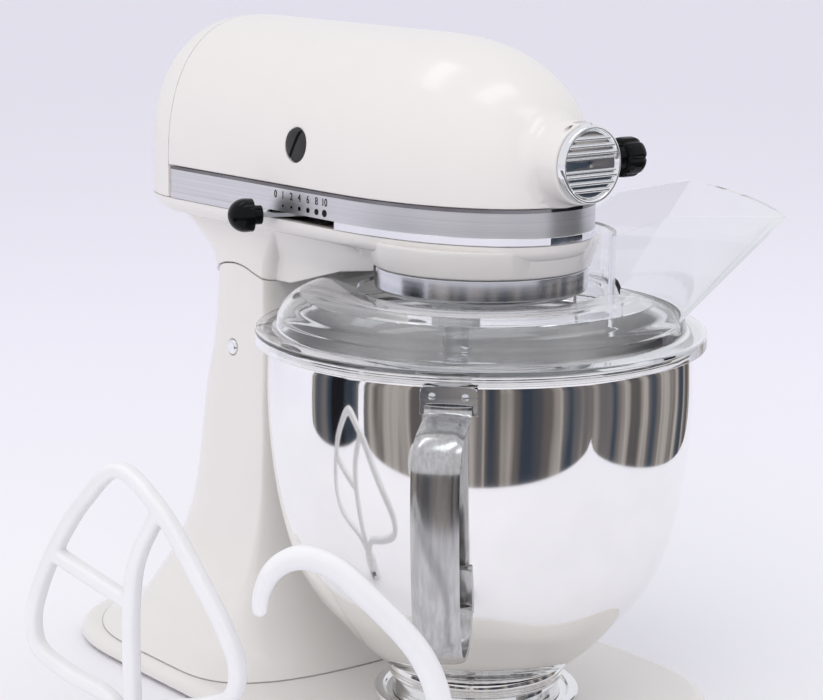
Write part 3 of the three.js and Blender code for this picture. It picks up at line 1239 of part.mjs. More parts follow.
function flatBeater() {
  const bars = [smooth(beater.frame, beater.frameSteps), smooth(beater.spine, beater.spineSteps),
    beater.cross].map((line) => upright(
    ribbon(line, beater.bar), -beater.deep / 2, beater.deep / 2));
  return placed(hollowed(join(collar(beater), ...bars), beater), { spin: beater.turn });
}

function doughHook() {
  const line = smooth(hook.line, hook.steps);
  const radii = line.map((_, i) => {
    const leftShare = 1 - i / line.length;
    return hook.rod * (1 - (1 - hook.tipShare) * Math.max(0, 1 - leftShare / hook.taperShare));
  });
  return placed(hollowed(join(collar(hook), rod(line, radii)), hook), { spin: hook.turn });
}

add(loose, 'flat_beater', flatBeater(), coat, [beater.x, beater.y, 0]);
add(loose, 'dough_hook', doughHook(), coat, [hook.x, hook.y, 0]);

// The origin goes under the middle of the whole set, on the table.

mixer.updateMatrixWorld(true);
const extent = new THREE.Box3().setFromObject(mixer);
const middle = extent.getCenter(new THREE.Vector3());
mixer.position.set(-middle.x, -middle.y, -extent.min.z);
mixer.updateMatrixWorld(true);

export default mixer;
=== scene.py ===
import json
import math
from types import SimpleNamespace as Sizes

import bmesh
import bpy
from mathutils import Matrix, Vector
from mathutils.bvhtree import BVHTree


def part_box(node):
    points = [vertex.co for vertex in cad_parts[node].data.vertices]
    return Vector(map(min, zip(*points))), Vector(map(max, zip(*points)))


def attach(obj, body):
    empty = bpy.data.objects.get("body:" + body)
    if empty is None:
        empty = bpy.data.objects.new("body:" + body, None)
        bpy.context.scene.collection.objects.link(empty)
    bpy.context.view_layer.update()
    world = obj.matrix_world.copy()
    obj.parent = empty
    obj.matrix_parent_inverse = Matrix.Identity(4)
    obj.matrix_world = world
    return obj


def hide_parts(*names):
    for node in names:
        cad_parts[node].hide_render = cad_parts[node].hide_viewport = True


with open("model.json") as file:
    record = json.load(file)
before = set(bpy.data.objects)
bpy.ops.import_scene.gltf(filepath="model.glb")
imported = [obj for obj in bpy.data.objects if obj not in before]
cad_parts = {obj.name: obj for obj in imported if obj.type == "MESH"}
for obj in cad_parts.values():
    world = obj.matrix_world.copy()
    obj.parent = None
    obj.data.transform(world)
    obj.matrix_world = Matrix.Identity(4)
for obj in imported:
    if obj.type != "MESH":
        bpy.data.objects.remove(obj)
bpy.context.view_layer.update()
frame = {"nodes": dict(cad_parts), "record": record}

# Lengths are in millimetres from the bowl axis on the table, as in the part's source, until row() turns
# them into the frame's metres.
MM = 0.001
foot_low, foot_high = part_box("bowl_foot")
BOWL_AXIS = ((foot_low + foot_high) / 2).to_2d()


def row(point):
    x, y, z = point
    return Vector((x * MM + BOWL_AXIS.x, y * MM + BOWL_AXIS.y, z * MM))


def spot_of(place):
    """A place of the frame in millimetres, the reverse of row()."""
    return (place.x - BOWL_AXIS.x) / MM, (place.y - BOWL_AXIS.y) / MM, place.z / MM


def shift(point):
    return Matrix.Translation(row(point))


def spin(axis, angle):
    return Matrix.Rotation(angle, 4, axis)


def placed(name, data):
    obj = bpy.data.objects.new(name, data)
    bpy.context.scene.collection.objects.link(obj)
    return obj


# Camera

IMAGE_WIDTH = 823
SENSOR_WIDTH = 36
FOCAL_PIXELS = 2200
SHIFT_PIXELS = (0.37, -15.36)
CAMERA_PLACE = (820.85, -708.93, 415.01)
YAW, PITCH, ROLL = math.radians(51.02), math.radians(11.25), math.radians(0.34)


def make_camera():
    data = bpy.data.cameras.new("camera")
    data.sensor_width = SENSOR_WIDTH
    data.lens = FOCAL_PIXELS * SENSOR_WIDTH / IMAGE_WIDTH
    data.shift_x, data.shift_y = (pixels / IMAGE_WIDTH for pixels in SHIFT_PIXELS)
    camera = placed("camera", data)
    turn = spin("Z", YAW) @ spin("X", math.pi / 2 - PITCH) @ spin("Z", ROLL)
    camera.matrix_world = shift(CAMERA_PLACE) @ turn
    bpy.context.scene.camera = camera


# Sizes of the machine

CLEARANCE = 0.3
OVERRUN = 4
# Cutters end this far to the side and in front, the head's this far, and all this far behind.
FAR, HEAD_FAR, BEHIND = 120, 80, -300
BASE = Sizes(
    half=110, rear=-263, nose=100, rear_start=-170, nose_start=5, bottom=2.2, top=11.3, round=7, power=3)
PAD = Sizes(stem=4, top=5.9)
FOOT_PLACES = [(-205, 70, 0), (-205, -70, 0), (40, 78, 0), (40, -78, 0), (84, 0, 0)]
COLUMN_SCREW = Sizes(shank=3.5, head=6, head_top=5.7)
COLUMN_SCREWS = [(-207, 0, 0), (-108, 0, 0)]
PLATE = Sizes(radius=53, height=3.6, floor=1.5, screw=2.6)
PLATE_SCREWS = [(-32, 0, 0), (32, 0, 0)]
COLUMN_FLOOR = BASE.top + CLEARANCE
COLUMN = Sizes(wall=5, rise=214.4, shelf=190.7, shelf_top=196.7, shelf_rear=-135, nose_power=3)
# Each level: height above the base, half width, rear, front, and where the rounded rear and front begin.
COLUMN_LEVELS = [
    (0, 105, -259, -66, -174, -125),
    (5, 96, -250, -72, -173, -124),
    (10, 88, -240, -78, -172, -122),
    (22, 80, -230, -88, -170, -118),
    (54, 64, -211, -101, -165, -114),
    (84, 58, -201, -106, -161, -112),
    (143, 53.5, -192, -111, -157, -114),
    (168, 51, -187, -114, -153, -116),
    (COLUMN.rise, 49.5, -182, -116, -150, -118),
]
PIN = Sizes(x=-145, z=176, radius=4.25, end=52.6, seam=45.5)
PIN_PLACE = (PIN.x, 0, PIN.z)
SEAM_SLOPE = [(62, 33), (42, 39.4), (29, 39.2), (20, 41.5)]
HEIGHT_SCREW = Sizes(x=-129, radius=3.5, stop=6, stop_low=214.4)
HEAD = Sizes(
    half=60, rear=-249, nose=61, rear_start=-186, nose_start=-45, band_bottom=253, band_top=271,
    crown=351.5, crown_drop=4, seam=-193, wall=3, inset=1.8, lip=8.7, power=2.35, nose_power=2.6,
    plan_power=2.2)
VENTS = Sizes(pitch=9, half=1.5, low=262, high=284, front=-236)
POST = Sizes(z=300, radius=4.4, front=-228, bore=2.5, head=4.7, head_front=-241)
# The case is as wide as the column at its lower end. Each level of its rear mass: height, rear, where the
# rounded rear begins, where the rounded front begins, front.
SWELL_LEVELS = [
    (200, -184, -150, -124, -114),
    (222, -189, -153, -122, -112),
    (236, -208, -168, -116, -106),
    (247, -230, -184, -108, -98),
    (250.5, -236, -188, -106, -96),
]
CASE = Sizes(
    half=49.5, low=200, flare_low=238, flare_rise=12, flare=9, arm_half=43, arm_swell=8, arm_low=228,
    arm_rise=19, arm_rear=-160, arm_front=-24, arm_flare=7, seam_gap=0.7, pocket_low=251, pocket_high=266,
    slot_rise=4.9, slot_near=-52, hollow=(-162, -62), hollow_half=39.5, hollow_top=241, roof=246,
    room_top=247, cone_low=236.3, cone_top=250.5, cone=58.4, spigot=51.2, spigot_bore=49.9, spigot_low=229,
    spigot_top=240, lug=13, lug_near=10, lug_far=20, web_half=6, boss=14.4, boss_top=261.5, shaft=7.7,
    screw=3.5, screw_x=-36, screw_y=51.8, screw_top=249)
BUSH = Sizes(x=-206, y=26, radius=6)
BAND = Sizes(thick=1.2, rear=-190, border=0.35, slot_rear=-102, slot_point=4, slot_front=-42, slot_height=4.2)
SCALE = Sizes(size=5.6, narrow=0.86, raised=0.06, digits_z=265.6, dots_z=260.3)
HUB = Sizes(
    z=292.8, radius=19.6, face=74, bore=11.3, cover=18.6, hinge_x=71.6, hinge_rise=16.9, hinge_pin=1.4,
    knob_x=64, knob_shank=3.5, boss_start=10, notch=3.9, notch_deep=3, notch_low=2.6, notch_high=12)
LEVER = Sizes(
    x=-71, y=-8, z=255.2, rest=22, pivot=3, post_top=259, thick=2, knob_start=63.5, knob_length=17.6,
    knob_radius=8.7)
LOCK = Sizes(
    x=-128, z=198.8, y=30, pivot=2.6, knob_start=56, slot=(-140.5, -123.5), slot_start=42, slot_low=197,
    slot_high=201.4)
BRUSH = Sizes(
    x=-76, z=292, cap_radius=8.6, cap_top=59.8, cap_thick=5, tube_radius=6, tube_bore=4.3, tube_start=14,
    slot_deep=1.9, slot_half=1, slot_tilt=math.radians(-58))
PLANET = Sizes(offset=28, angle=math.radians(-65.7))
SHAFT = Sizes(radius=6.3, bottom=184, top=246.2, pin_radius=1.6, pin_half=10.4, pin_z=199.5)
BOWL_WALL = 1.2
BOWL_SIDE = [
    (0, 27.2), (44, 30.6), (59, 41), (72.3, 55.4), (83, 68), (93, 85), (99.8, 108), (104.4, 135),
    (106.8, 168), (106.4, 197),
]
HANDLE = Sizes(
    angle=math.radians(-48.3), half=11, thick=2.2, bulge=0.9, tab_low=84, tab_top=116, tab_gap=1.7,
    plate=107.2, plate_half=13.4, plate_low=183, plate_top=196.3, plate_thick=1.3, plate_edge=0.9,
    weld_y=7.6, weld_z=191.6)
SHIELD = Sizes(
    wall=2, hole=62, foot=102.6, flange_top=204.6, flange_bottom=202.3, outer=113, skirt=197.6, collar=65,
    collar_top=252, bend=95, bend_top=264, chute_low=206, chute_foot=101, chute_foot_top=212, lip=151,
    lip_dip=11, lip_top=266.5, chute_start=33.3, chute_end=91.4)
SHIELD_DOME = [(SHIELD.hole, 224), (72, 224.4), (82, 224), (91, 221.5), (98, 217), (101.6, 211)]
BEATER_PLACE, BEATER_TURN = (-11, -200, 0), math.radians(18)
HOOK_PLACE, HOOK_TURN = (127, -130, 0), math.radians(51)
COLLAR = Sizes(
    radius=10.5, height=27, bore=6.9, room=23.2, slot=1.9, slot_reach=21, slot_top=13, hold=7.6, hold_low=6)
TOOL_GRAIN, TOOL_ROUNDS = 0.8, 6

# Mesh tools


def new_object(name, points, faces):
    mesh = bpy.data.meshes.new(name)
    mesh.from_pydata([row(p) for p in points], [], faces)
    tidy = bmesh.new()
    tidy.from_mesh(mesh)
    bmesh.ops.remove_doubles(tidy, verts=tidy.verts, dist=0.002 * MM)
    bmesh.ops.dissolve_degenerate(tidy, edges=tidy.edges, dist=0.001 * MM)
    bmesh.ops.recalc_face_normals(tidy, faces=tidy.faces)
    if tidy.calc_volume(signed=True) < 0:
        bmesh.ops.reverse_faces(tidy, faces=tidy.faces)
    tidy.to_mesh(mesh)
    tidy.free()
    return placed(name, mesh)


def bake(obj):
    graph = bpy.context.evaluated_depsgraph_get()
    made = bpy.data.meshes.new_from_object(obj.evaluated_get(graph))
    obj.modifiers.clear()
    obj.data = made
    return obj


def combine(target, operation, others):
    for other in others:
        step = target.modifiers.new(operation.lower(), "BOOLEAN")
        step.operation = operation
        step.solver = "EXACT"
        step.object = other
        bake(target)
        bpy.data.objects.remove(other)
    return target


def cut(target, *others):
    return combine(target, "DIFFERENCE", others)


def join(target, *others):
    return combine(target, "UNION", others)


def keep(target, *others):
    return combine(target, "INTERSECT", others)


def ring_faces(rings, count, closed_along=False):
    faces = []
    levels = rings if closed_along else rings - 1
    for level in range(levels):
        for i in range(count):
            a, b = level * count + i, level * count + (i + 1) % count
            over = ((level + 1) % rings - level) * count
            faces.append((a, b, b + over, a + over))
    return faces


def loft(name, rings, closed_along=False):
    """A body through rings of equal count. Open ends are closed with one face each."""
    count = len(rings[0])
    faces = ring_faces(len(rings), count, closed_along)
    if not closed_along:
        faces.append(tuple(range(count)))
        faces.append(tuple((len(rings) - 1) * count + i for i in range(count)))
    return new_object(name, [p for ring in rings for p in ring], faces)


def on_axis(axis, place, radius, angle, height):
    """A point of a turned form, at a height along its axis through a place."""
    p, q = radius * math.cos(angle), radius * math.sin(angle)
    turned = {"x": (height, p, q), "y": (p, height, q), "z": (p, q, height)}[axis]
    return tuple(a + b for a, b in zip(turned, place))


def lathe(name, profile, segments=96, axis="z", place=(0, 0, 0), ripple=None):
    """A turned body from a closed profile of (radius, height). ripple(angle, index) scales a radius."""
    rings = []
    for i in range(segments):
        angle = 2 * math.pi * i / segments
        scales = [ripple(angle, j) if ripple else 1 for j in range(len(profile))]
        rings.append([on_axis(axis, place, r * scale, angle, h) for scale, (r, h) in zip(scales, profile)])
    return loft(name, rings, closed_along=True)


def bar(name, axis, radius, start, end, place=(0, 0, 0), segments=48):
    return lathe(name, [(0, start), (radius, start), (radius, end), (0, end)], segments, axis, place)


def bores(axis, radius, start, end, places, segments=48):
    return [bar("bore", axis, radius, start, end, place, segments) for place in places]


def block(xs, ys, zs):
    points = [(x, y, z) for x in xs for y in ys for z in zs]
    faces = [(0, 1, 3, 2), (4, 6, 7, 5), (0, 4, 5, 1), (2, 3, 7, 6), (0, 2, 6, 4), (1, 5, 7, 3)]
    return new_object("block", points, faces)


def upright(outline, y0, y1):
    """A flat outline in x and z, thickened from y0 to y1."""
    return loft("upright", [[(x, y, z) for x, z in outline] for y in (y0, y1)])


def turned_piece(obj, turn, place, axis="Z"):
    """Turns a piece about the bowl's axis, or a level one through its foot, and moves it to a place."""
    obj.data.transform(shift(place) @ spin(axis, turn) @ Matrix.Translation(-row((0, 0, 0))))
    return obj


def mixed(knots, t, points, reach):
    """One step of the curve's blending, between points whose knots lie so many places apart."""
    return [(knots[j + reach] - t) / (knots[j + reach] - knots[j]) * points[j]
            + (t - knots[j]) / (knots[j + reach] - knots[j]) * points[j + 1] for j in range(len(points) - 1)]


def smooth_line(points, count):
    """A centripetal curve through the points, as count even steps."""
    fine = []
    last = len(points) - 1
    fine_steps = 24
    for i in range(last):
        p = [Vector(points[max(0, min(last, j))]) for j in (i - 1, i, i + 1, i + 2)]
        if i == 0:
            p[0] = 2 * p[1] - p[2]
        if i == last - 1:
            p[3] = 2 * p[2] - p[1]
        knots = [0.0]
        for a, b in zip(p, p[1:]):
            knots.append(knots[-1] + max((b - a).length, 1e-6) ** 0.5)
        for step in range(fine_steps):
            t = knots[1] + (knots[2] - knots[1]) * step / fine_steps
            pairs = mixed(knots, t, mixed(knots, t, p, 1), 2)
            fine += mixed(knots[1:], t, pairs, 1)
    fine.append(Vector(points[-1]))
    lengths = [0.0]
    for a, b in zip(fine, fine[1:]):
        lengths.append(lengths[-1] + (b - a).length)
    result, at = [], 0
    for i in range(count + 1):
        wanted = lengths[-1] * i / count
        while at < len(lengths) - 2 and lengths[at + 1] < wanted:
            at += 1
        share = (wanted - lengths[at]) / max(lengths[at + 1] - lengths[at], 1e-9)
        result.append(tuple(fine[at].lerp(fine[at + 1], min(1, max(0, share)))))
    return result


def bend(start, corner, end, t):
    """A point of the curve that leaves one place for another by a corner."""
    return start * (1 - t) ** 2 + corner * 2 * t * (1 - t) + end * t ** 2


def rounded(points, radius, steps=5, closed=True):
    """The corners of a flat outline rounded to a radius, or to what their sides allow."""
    result = []
    count = len(points)
    side_share = 0.45
    for i, point in enumerate(points):
        here = Vector(point[:2])
        size = point[2] if len(point) > 2 else radius
        back = Vector(points[i - 1][:2]) - here
        on = Vector(points[(i + 1) % count][:2]) - here
        reach = min(size, back.length * side_share, on.length * side_share)
        if reach < 1e-4 or not closed and i in (0, count - 1):
            result.append(tuple(here))
            continue
        start, end = here + back.normalized() * reach, here + on.normalized() * reach
        result += [tuple(bend(start, here, end, step / steps)) for step in range(steps + 1)]
    return result


def arc(radius, start, end, count, centre=(0, 0)):
    angles = [math.radians(start + (end - start) * i / (count - 1)) for i in range(count)]
    return [(centre[0] + radius * math.cos(a), centre[1] + radius * math.sin(a)) for a in angles]


def quarter(steps):
    """The sine and cosine at even steps of a quarter turn."""
    angles = [math.pi / 2 * i / steps for i in range(steps + 1)]
    return [(math.sin(a), math.cos(a)) for a in angles]


def moved(points, distance):
    """A line moved sideways by a distance, with mitred corners."""
    result = []
    for i, point in enumerate(points):
        before, after = points[max(i - 1, 0)], points[min(i + 1, len(points) - 1)]
        into = (Vector(point) - Vector(before)).normalized()
        out = (Vector(after) - Vector(point)).normalized()
        along = (into + out).normalized()
        stretch = 1 / max(along.dot(out), 0.5) if into.length and out.length else 1
        result.append((point[0] - along.y * distance * stretch, point[1] + along.x * distance * stretch))
    return result


def heading(line, i):
    """The direction of a line at one of its points, by its neighbours."""
    before, after = line[max(i - 1, 0)], line[min(i + 1, len(line) - 1)]
    return Vector((after[0] - before[0], after[1] - before[1])).normalized()


def sweep(name, path, section, turn, place=(0, 0, 0), scale=None):
    """A section of (outward, sideways) points carried along a path of (distance, height)."""
    rings = []
    for i, (u, z) in enumerate(path):
        along = heading(path, i)
        size = scale(i / (len(path) - 1)) if scale else 1
        ring = []
        for outward, sideways in section:
            pu, pz = u - along.y * outward * size, z + along.x * outward * size
            side = sideways * size
            ring.append((
                place[0] + pu * math.cos(turn) - side * math.sin(turn),
                place[1] + pu * math.sin(turn) + side * math.cos(turn), pz))
        rings.append(ring)
    return loft(name, rings)


def voxelled(obj, size, rounds):
    remesh = obj.modifiers.new("remesh", "REMESH")
    remesh.mode = "VOXEL"
    remesh.voxel_size = size * MM
    bake(obj)
    ease = obj.modifiers.new("ease", "SMOOTH")
    ease.factor = 0.5
    ease.iterations = rounds
    return bake(obj)


def joined(name, *objects):
    """One object that holds the meshes of several."""
    whole = bmesh.new()
    for obj in objects:
        whole.from_mesh(obj.data)
        bpy.data.objects.remove(obj)
    mesh = bpy.data.meshes.new(name)
    whole.to_mesh(mesh)
    whole.free()
    return placed(name, mesh)


def dress(obj, body, materials, solid=None, sharp=32, pick=None):
    """Rides a piece on its body, gives it materials and smooth shading, and hides the solid it stands for."""
    obj.data.materials.clear()
    for one in materials if isinstance(materials, list) else [materials]:
        obj.data.materials.append(one)
    for face in obj.data.polygons:
        face.material_index = pick(spot_of(face.center), face.normal) if pick else 0
    obj.data.shade_smooth()
    obj.data.set_sharp_from_angle(angle=math.radians(sharp))
    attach(obj, body)
    if solid:
        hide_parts(solid)


# Materials


def nodes_of(name):
    made = bpy.data.materials.new(name)
    made.use_nodes = True
    tree = made.node_tree
    return made, tree, tree.nodes["Principled BSDF"]


def feed(tree, made, inputs):
    """Gives each input of a shader node its value, or the socket that feeds it."""
    for name, value in inputs.items():
        if isinstance(value, bpy.types.NodeSocket):
            tree.links.new(value, made.inputs[name])
        else:
            made.inputs[name].default_value = value


def node(tree, kind, inputs=None, **settings):
    made = tree.nodes.new("ShaderNode" + kind)
    for name, value in settings.items():
        setattr(made, name, value)
    feed(tree, made, inputs or {})
    return made


def coordinates(tree, scale):
    """Object coordinates, scaled by one number or by one for each axis."""
    scales = scale if isinstance(scale, tuple) else (scale, scale, scale)
    place = node(tree, "TexCoord").outputs["Object"]
    return node(tree, "Mapping", {"Scale": scales, "Vector": place}).outputs["Vector"]


def noise(tree, scale, detail):
    inputs = {"Scale": 1.0, "Detail": detail, "Vector": coordinates(tree, scale)}
    return node(tree, "TexNoise", inputs).outputs["Fac"]


def ramp(tree, value, stops):
    made = node(tree, "ValToRGB", {"Fac": value})
    while len(made.color_ramp.elements) < len(stops):
        made.color_ramp.elements.new(0.5)
    for element, (place, colour) in zip(made.color_ramp.elements, stops):
        element.position = place
        element.color = (*colour, 1)
    return made.outputs["Color"]


def ranged(tree, value, low, high):
    return node(tree, "MapRange", {"Value": value, "To Min": low, "To Max": high}).outputs["Result"]


def relief(tree, scale, height, detail):
    return node(tree, "Bump", {"Distance": height, "Height": noise(tree, scale, detail)})


def surface(name, colours, rough, bump, metal=0.0, tint_scale=40, rough_scale=150, edge=0.0, **sockets):
    """A material with varied colour, roughness and relief. bump is (scale, height in metres, detail)."""
    made, tree, shader = nodes_of(name)
    tint_stops = list(zip((0.35, 0.65), colours))
    bumped = relief(tree, *bump)
    if edge:
        softened = node(tree, "Bevel", {"Radius": edge}, samples=4)
        feed(tree, bumped, {"Normal": softened.outputs["Normal"]})
    feed(tree, shader, {
        "Base Color": ramp(tree, noise(tree, tint_scale, 3), tint_stops), "Metallic": metal,
        "Roughness": ranged(tree, noise(tree, rough_scale, 4), *rough), "Normal": bumped.outputs["Normal"]})
    feed(tree, shader, {socket.replace("_", " "): value for socket, value in sockets.items()})
    return made


def worked(tree, operation, first, second):
    return node(tree, "Math", {0: first, 1: second}, operation=operation).outputs["Value"]


def clear_plastic(name):
    """Clear acrylic. Shadow, diffuse and mirrored rays pass straight through, so the bowl inside is lit."""
    made, tree, shader = nodes_of(name)
    feed(tree, shader, {
        "Base Color": (0.985, 0.99, 0.99, 1), "Transmission Weight": 1.0, "IOR": 1.49,
        "Roughness": ranged(tree, noise(tree, 60, 3), 0.0, 0.03),
        "Normal": relief(tree, 25, 0.00006, 1).outputs["Normal"]})
    rays = node(tree, "LightPath").outputs
    mirrored = worked(tree, "SUBTRACT", rays["Is Glossy Ray"], rays["Is Transmission Ray"])
    passing = worked(tree, "MAXIMUM", rays["Is Shadow Ray"], rays["Is Diffuse Ray"])
    passing = worked(tree, "MAXIMUM", passing, mirrored)
    through = node(tree, "BsdfTransparent", {"Color": (0.95, 0.955, 0.96, 1)})
    mix = node(tree, "MixShader", {0: passing, 1: shader.outputs["BSDF"], 2: through.outputs["BSDF"]})
    feed(tree, tree.nodes["Material Output"], {"Surface": mix.outputs["Shader"]})
    return made


PAINT = surface(
    "paint", [(0.805, 0.78, 0.748), (0.812, 0.787, 0.755)], (0.22, 0.27), bump=(260, 0.00001, 2),
    edge=0.0009, Coat_Weight=0.35, Coat_Roughness=0.1)
POLISHED = surface(
    "polished_steel", [(0.90, 0.895, 0.885), (0.93, 0.925, 0.915)], (0.03, 0.08), metal=1.0,
    rough_scale=(20, 20, 60), bump=(20, 0.00003, 1))
INSIDE = surface(
    "spun_steel", [(0.86, 0.855, 0.85), (0.93, 0.925, 0.92)], (0.14, 0.26), metal=1.0,
    tint_scale=(3, 3, 300), rough_scale=(6, 6, 900), bump=((8, 8, 2600), 0.000006, 3))
CHROME = surface(
    "chrome", [(0.86, 0.87, 0.88), (0.9, 0.905, 0.91)], (0.02, 0.07), metal=1.0, bump=(90, 0.000006, 2),
    edge=0.0004)
DRIP = surface(
    "drip_steel", [(0.66, 0.67, 0.69), (0.74, 0.75, 0.77)], (0.12, 0.24), metal=1.0,
    tint_scale=(8, 8, 500), rough_scale=(8, 8, 900), bump=((10, 10, 2400), 0.000003, 2))
BRUSHED = surface(
    "brushed_band", [(0.68, 0.68, 0.69), (0.76, 0.76, 0.77)], (0.26, 0.4), metal=1.0,
    tint_scale=(6, 6, 1600), rough_scale=(6, 6, 1400), bump=((12, 12, 2600), 0.000002, 2))
# Painted shade: a dark steel for the band's top strip, standing in for the shade where the band meets the
# dome.
BAND_EDGE_SHADE = surface(
    "band_edge_shade", [(0.17, 0.16, 0.165), (0.27, 0.26, 0.265)], (0.06, 0.16), metal=1.0,
    tint_scale=(30, 30, 4), bump=(90, 0.000006, 2))
STRAP = surface(
    "handle_steel", [(0.47, 0.465, 0.46), (0.585, 0.585, 0.585)], (0.12, 0.26), metal=1.0,
    tint_scale=(500, 500, 14), rough_scale=(700, 700, 12), bump=((1500, 1500, 14), 0.000006, 3))
STEEL = surface(
    "machined_steel", [(0.5, 0.51, 0.53), (0.62, 0.63, 0.65)], (0.2, 0.42), metal=1.0, rough_scale=300,
    bump=(900, 0.000008, 2))
BLACK = surface(
    "black_plastic", [(0.0015, 0.002, 0.0025), (0.003, 0.0035, 0.004)], (0.05, 0.12),
    bump=(200, 0.00001, 2), Specular_IOR_Level=0.14)
DARK = surface(
    "dark_plastic", [(0.02, 0.02, 0.021), (0.045, 0.045, 0.047)], (0.5, 0.8), bump=(1200, 0.00003, 2))
RUBBER = surface("rubber", [(0.55, 0.55, 0.54), (0.62, 0.62, 0.6)], (0.6, 0.85), bump=(1600, 0.00004, 2))
COAT = surface(
    "white_coat", [(0.86, 0.86, 0.87), (0.89, 0.89, 0.9)], (0.26, 0.42), bump=(420, 0.00005, 2),
    Coat_Weight=0.25, Coat_Roughness=0.2)
BRONZE = surface(
    "bronze", [(0.42, 0.27, 0.1), (0.56, 0.38, 0.16)], (0.22, 0.45), metal=1.0, bump=(800, 0.00001, 2))
COPPER = surface(
    "winding", [(0.36, 0.13, 0.05), (0.52, 0.22, 0.09)], (0.25, 0.5), metal=1.0, tint_scale=1800,
    bump=((2200, 300, 300), 0.0001, 2))
IRON = surface(
    "iron", [(0.14, 0.145, 0.155), (0.24, 0.245, 0.26)], (0.4, 0.65), metal=1.0, bump=(1200, 0.00004, 3))
CASTING = surface(
    "cast_metal", [(0.55, 0.555, 0.56), (0.66, 0.665, 0.67)], (0.35, 0.55), metal=1.0,
    bump=(700, 0.00005, 3))
CLEAR = clear_plastic("clear_acrylic")

SLOT_MATERIALS = dict(
    paint=PAINT, rubber=RUBBER, chrome=CHROME, steel=STEEL, black=BLACK, plastic=DARK, band=BRUSHED,
    bronze=BRONZE, copper=COPPER, iron=IRON, casting=CASTING, polished=POLISHED, clear=CLEAR, coat=COAT)
for part in frame["record"]["subparts"]:
    solid_mesh = frame["nodes"][part["node"]].data
    solid_mesh.materials.clear()
    solid_mesh.materials.append(SLOT_MATERIALS[part["material_slot"]])

# Base, feet and clamp plate

END_STEPS = 40
SIDE_STEPS = 24


def plan_ring(half, rear, rear_start, nose, nose_start, power, nose_power, z):
    """A plan outline with straight sides and rounded ends, at height z."""
    ring = []
    ends = (
        (nose, nose_start, nose_power, -math.pi / 2, rear_start),
        (rear, rear_start, power, math.pi / 2, nose_start),
    )
    for tip, start, sharp, first, other in ends:
        for i in range(END_STEPS + 1):
            angle = first + math.pi * i / END_STEPS
            across, along = math.sin(angle), abs(math.cos(angle))
            side_share = abs(across) ** (2 / sharp) if 0 < i < END_STEPS else 1
            x = start + (tip - start) * along ** (2 / sharp)
            ring.append((x, half * math.copysign(side_share, across), z))
        ring[-1] = (start, ring[-1][1], z)
        ring += [(start + (other - start) * i / SIDE_STEPS, ring[-1][1], z) for i in range(1, SIDE_STEPS)]
    return ring


def base_ring(inset, z):
    return plan_ring(
        BASE.half - inset, BASE.rear + inset, BASE.rear_start, BASE.nose - inset,
        BASE.nose_start, BASE.power, BASE.power, z)


def make_base():
    under_share, under_rise_share, side_share = 0.25, 0.2, 0.35
    levels = [(under_share * (1 - s), under_rise_share * (1 - c)) for s, c in quarter(6)]
    levels += [(1 - c, side_share + (1 - side_share) * s) for s, c in quarter(10)]
    rise = BASE.top - BASE.bottom
    casting = loft("base", [base_ring(BASE.round * inset, BASE.bottom + rise * h) for inset, h in levels])
    low, high = BASE.bottom - OVERRUN, BASE.top + OVERRUN
    cut(casting,
        *bores("z", PAD.stem + CLEARANCE, low, PAD.top + CLEARANCE, FOOT_PLACES),
        *bores("z", COLUMN_SCREW.shank + CLEARANCE, low, high, COLUMN_SCREWS),
        *bores("z", COLUMN_SCREW.head + CLEARANCE, low, COLUMN_SCREW.head_top, COLUMN_SCREWS),
        *bores("z", PLATE.screw + CLEARANCE, low, high, PLATE_SCREWS))
    dress(casting, "base", PAINT, "base_casting")
    pad = rounded([
        (0, 0), (8, 0), (10, 0.63), (10, 1.9), (PAD.stem, 1.9), (PAD.stem, PAD.top), (0, PAD.top),
    ], 0.6, 3)
    for i, place in enumerate(FOOT_PLACES):
        dress(lathe(f"pad_{i + 1}", pad, 48, place=place), "base", RUBBER, f"foot_pad_{i + 1}")
    low, wide = COLUMN_FLOOR, PLATE.radius
    floor, top = low + PLATE.floor, low + PLATE.height
    clamp = lathe("clamp_plate", rounded([
        (0, low), (wide, low, 0.2), (wide, top - 1, 1.4), (wide - 1, top, 1.2), (wide - 5.2, top, 1.2),
        (wide - 6.2, floor, 0.6), (0, floor)], 0.2, 5), 160)
    cut(clamp, *bores("z", PLATE.screw + CLEARANCE, low - OVERRUN, low + OVERRUN, PLATE_SCREWS))
    dress(clamp, "base", CHROME, "bowl_clamp_plate")


# Column


def hermite(table, i, x):
    """A smooth value between rows of (place, value), without overshoot."""
    def rise(j):
        return (table[j + 1][1] - table[j][1]) / (table[j + 1][0] - table[j][0])

    def slope(j):
        if j in (0, len(table) - 1):
            return rise(min(j, len(table) - 2))
        left, right = rise(j - 1), rise(j)
        return 0 if left * right <= 0 else 2 * left * right / (left + right)

    (x0, y0), (x1, y1) = table[i], table[i + 1]
    h = x1 - x0
    t = (x - x0) / h
    return ((2 * t ** 3 - 3 * t ** 2 + 1) * y0 + (t ** 3 - 2 * t ** 2 + t) * h * slope(i)
            + (3 * t ** 2 - 2 * t ** 3) * y1 + (t ** 3 - t ** 2) * h * slope(i + 1))


def level_values(levels, height):
    low = max(i for i in range(len(levels) - 1) if levels[i][0] <= height)
    columns = range(1, len(levels[0]))
    return [hermite([(level[0], level[k]) for level in levels], low, height) for k in columns]


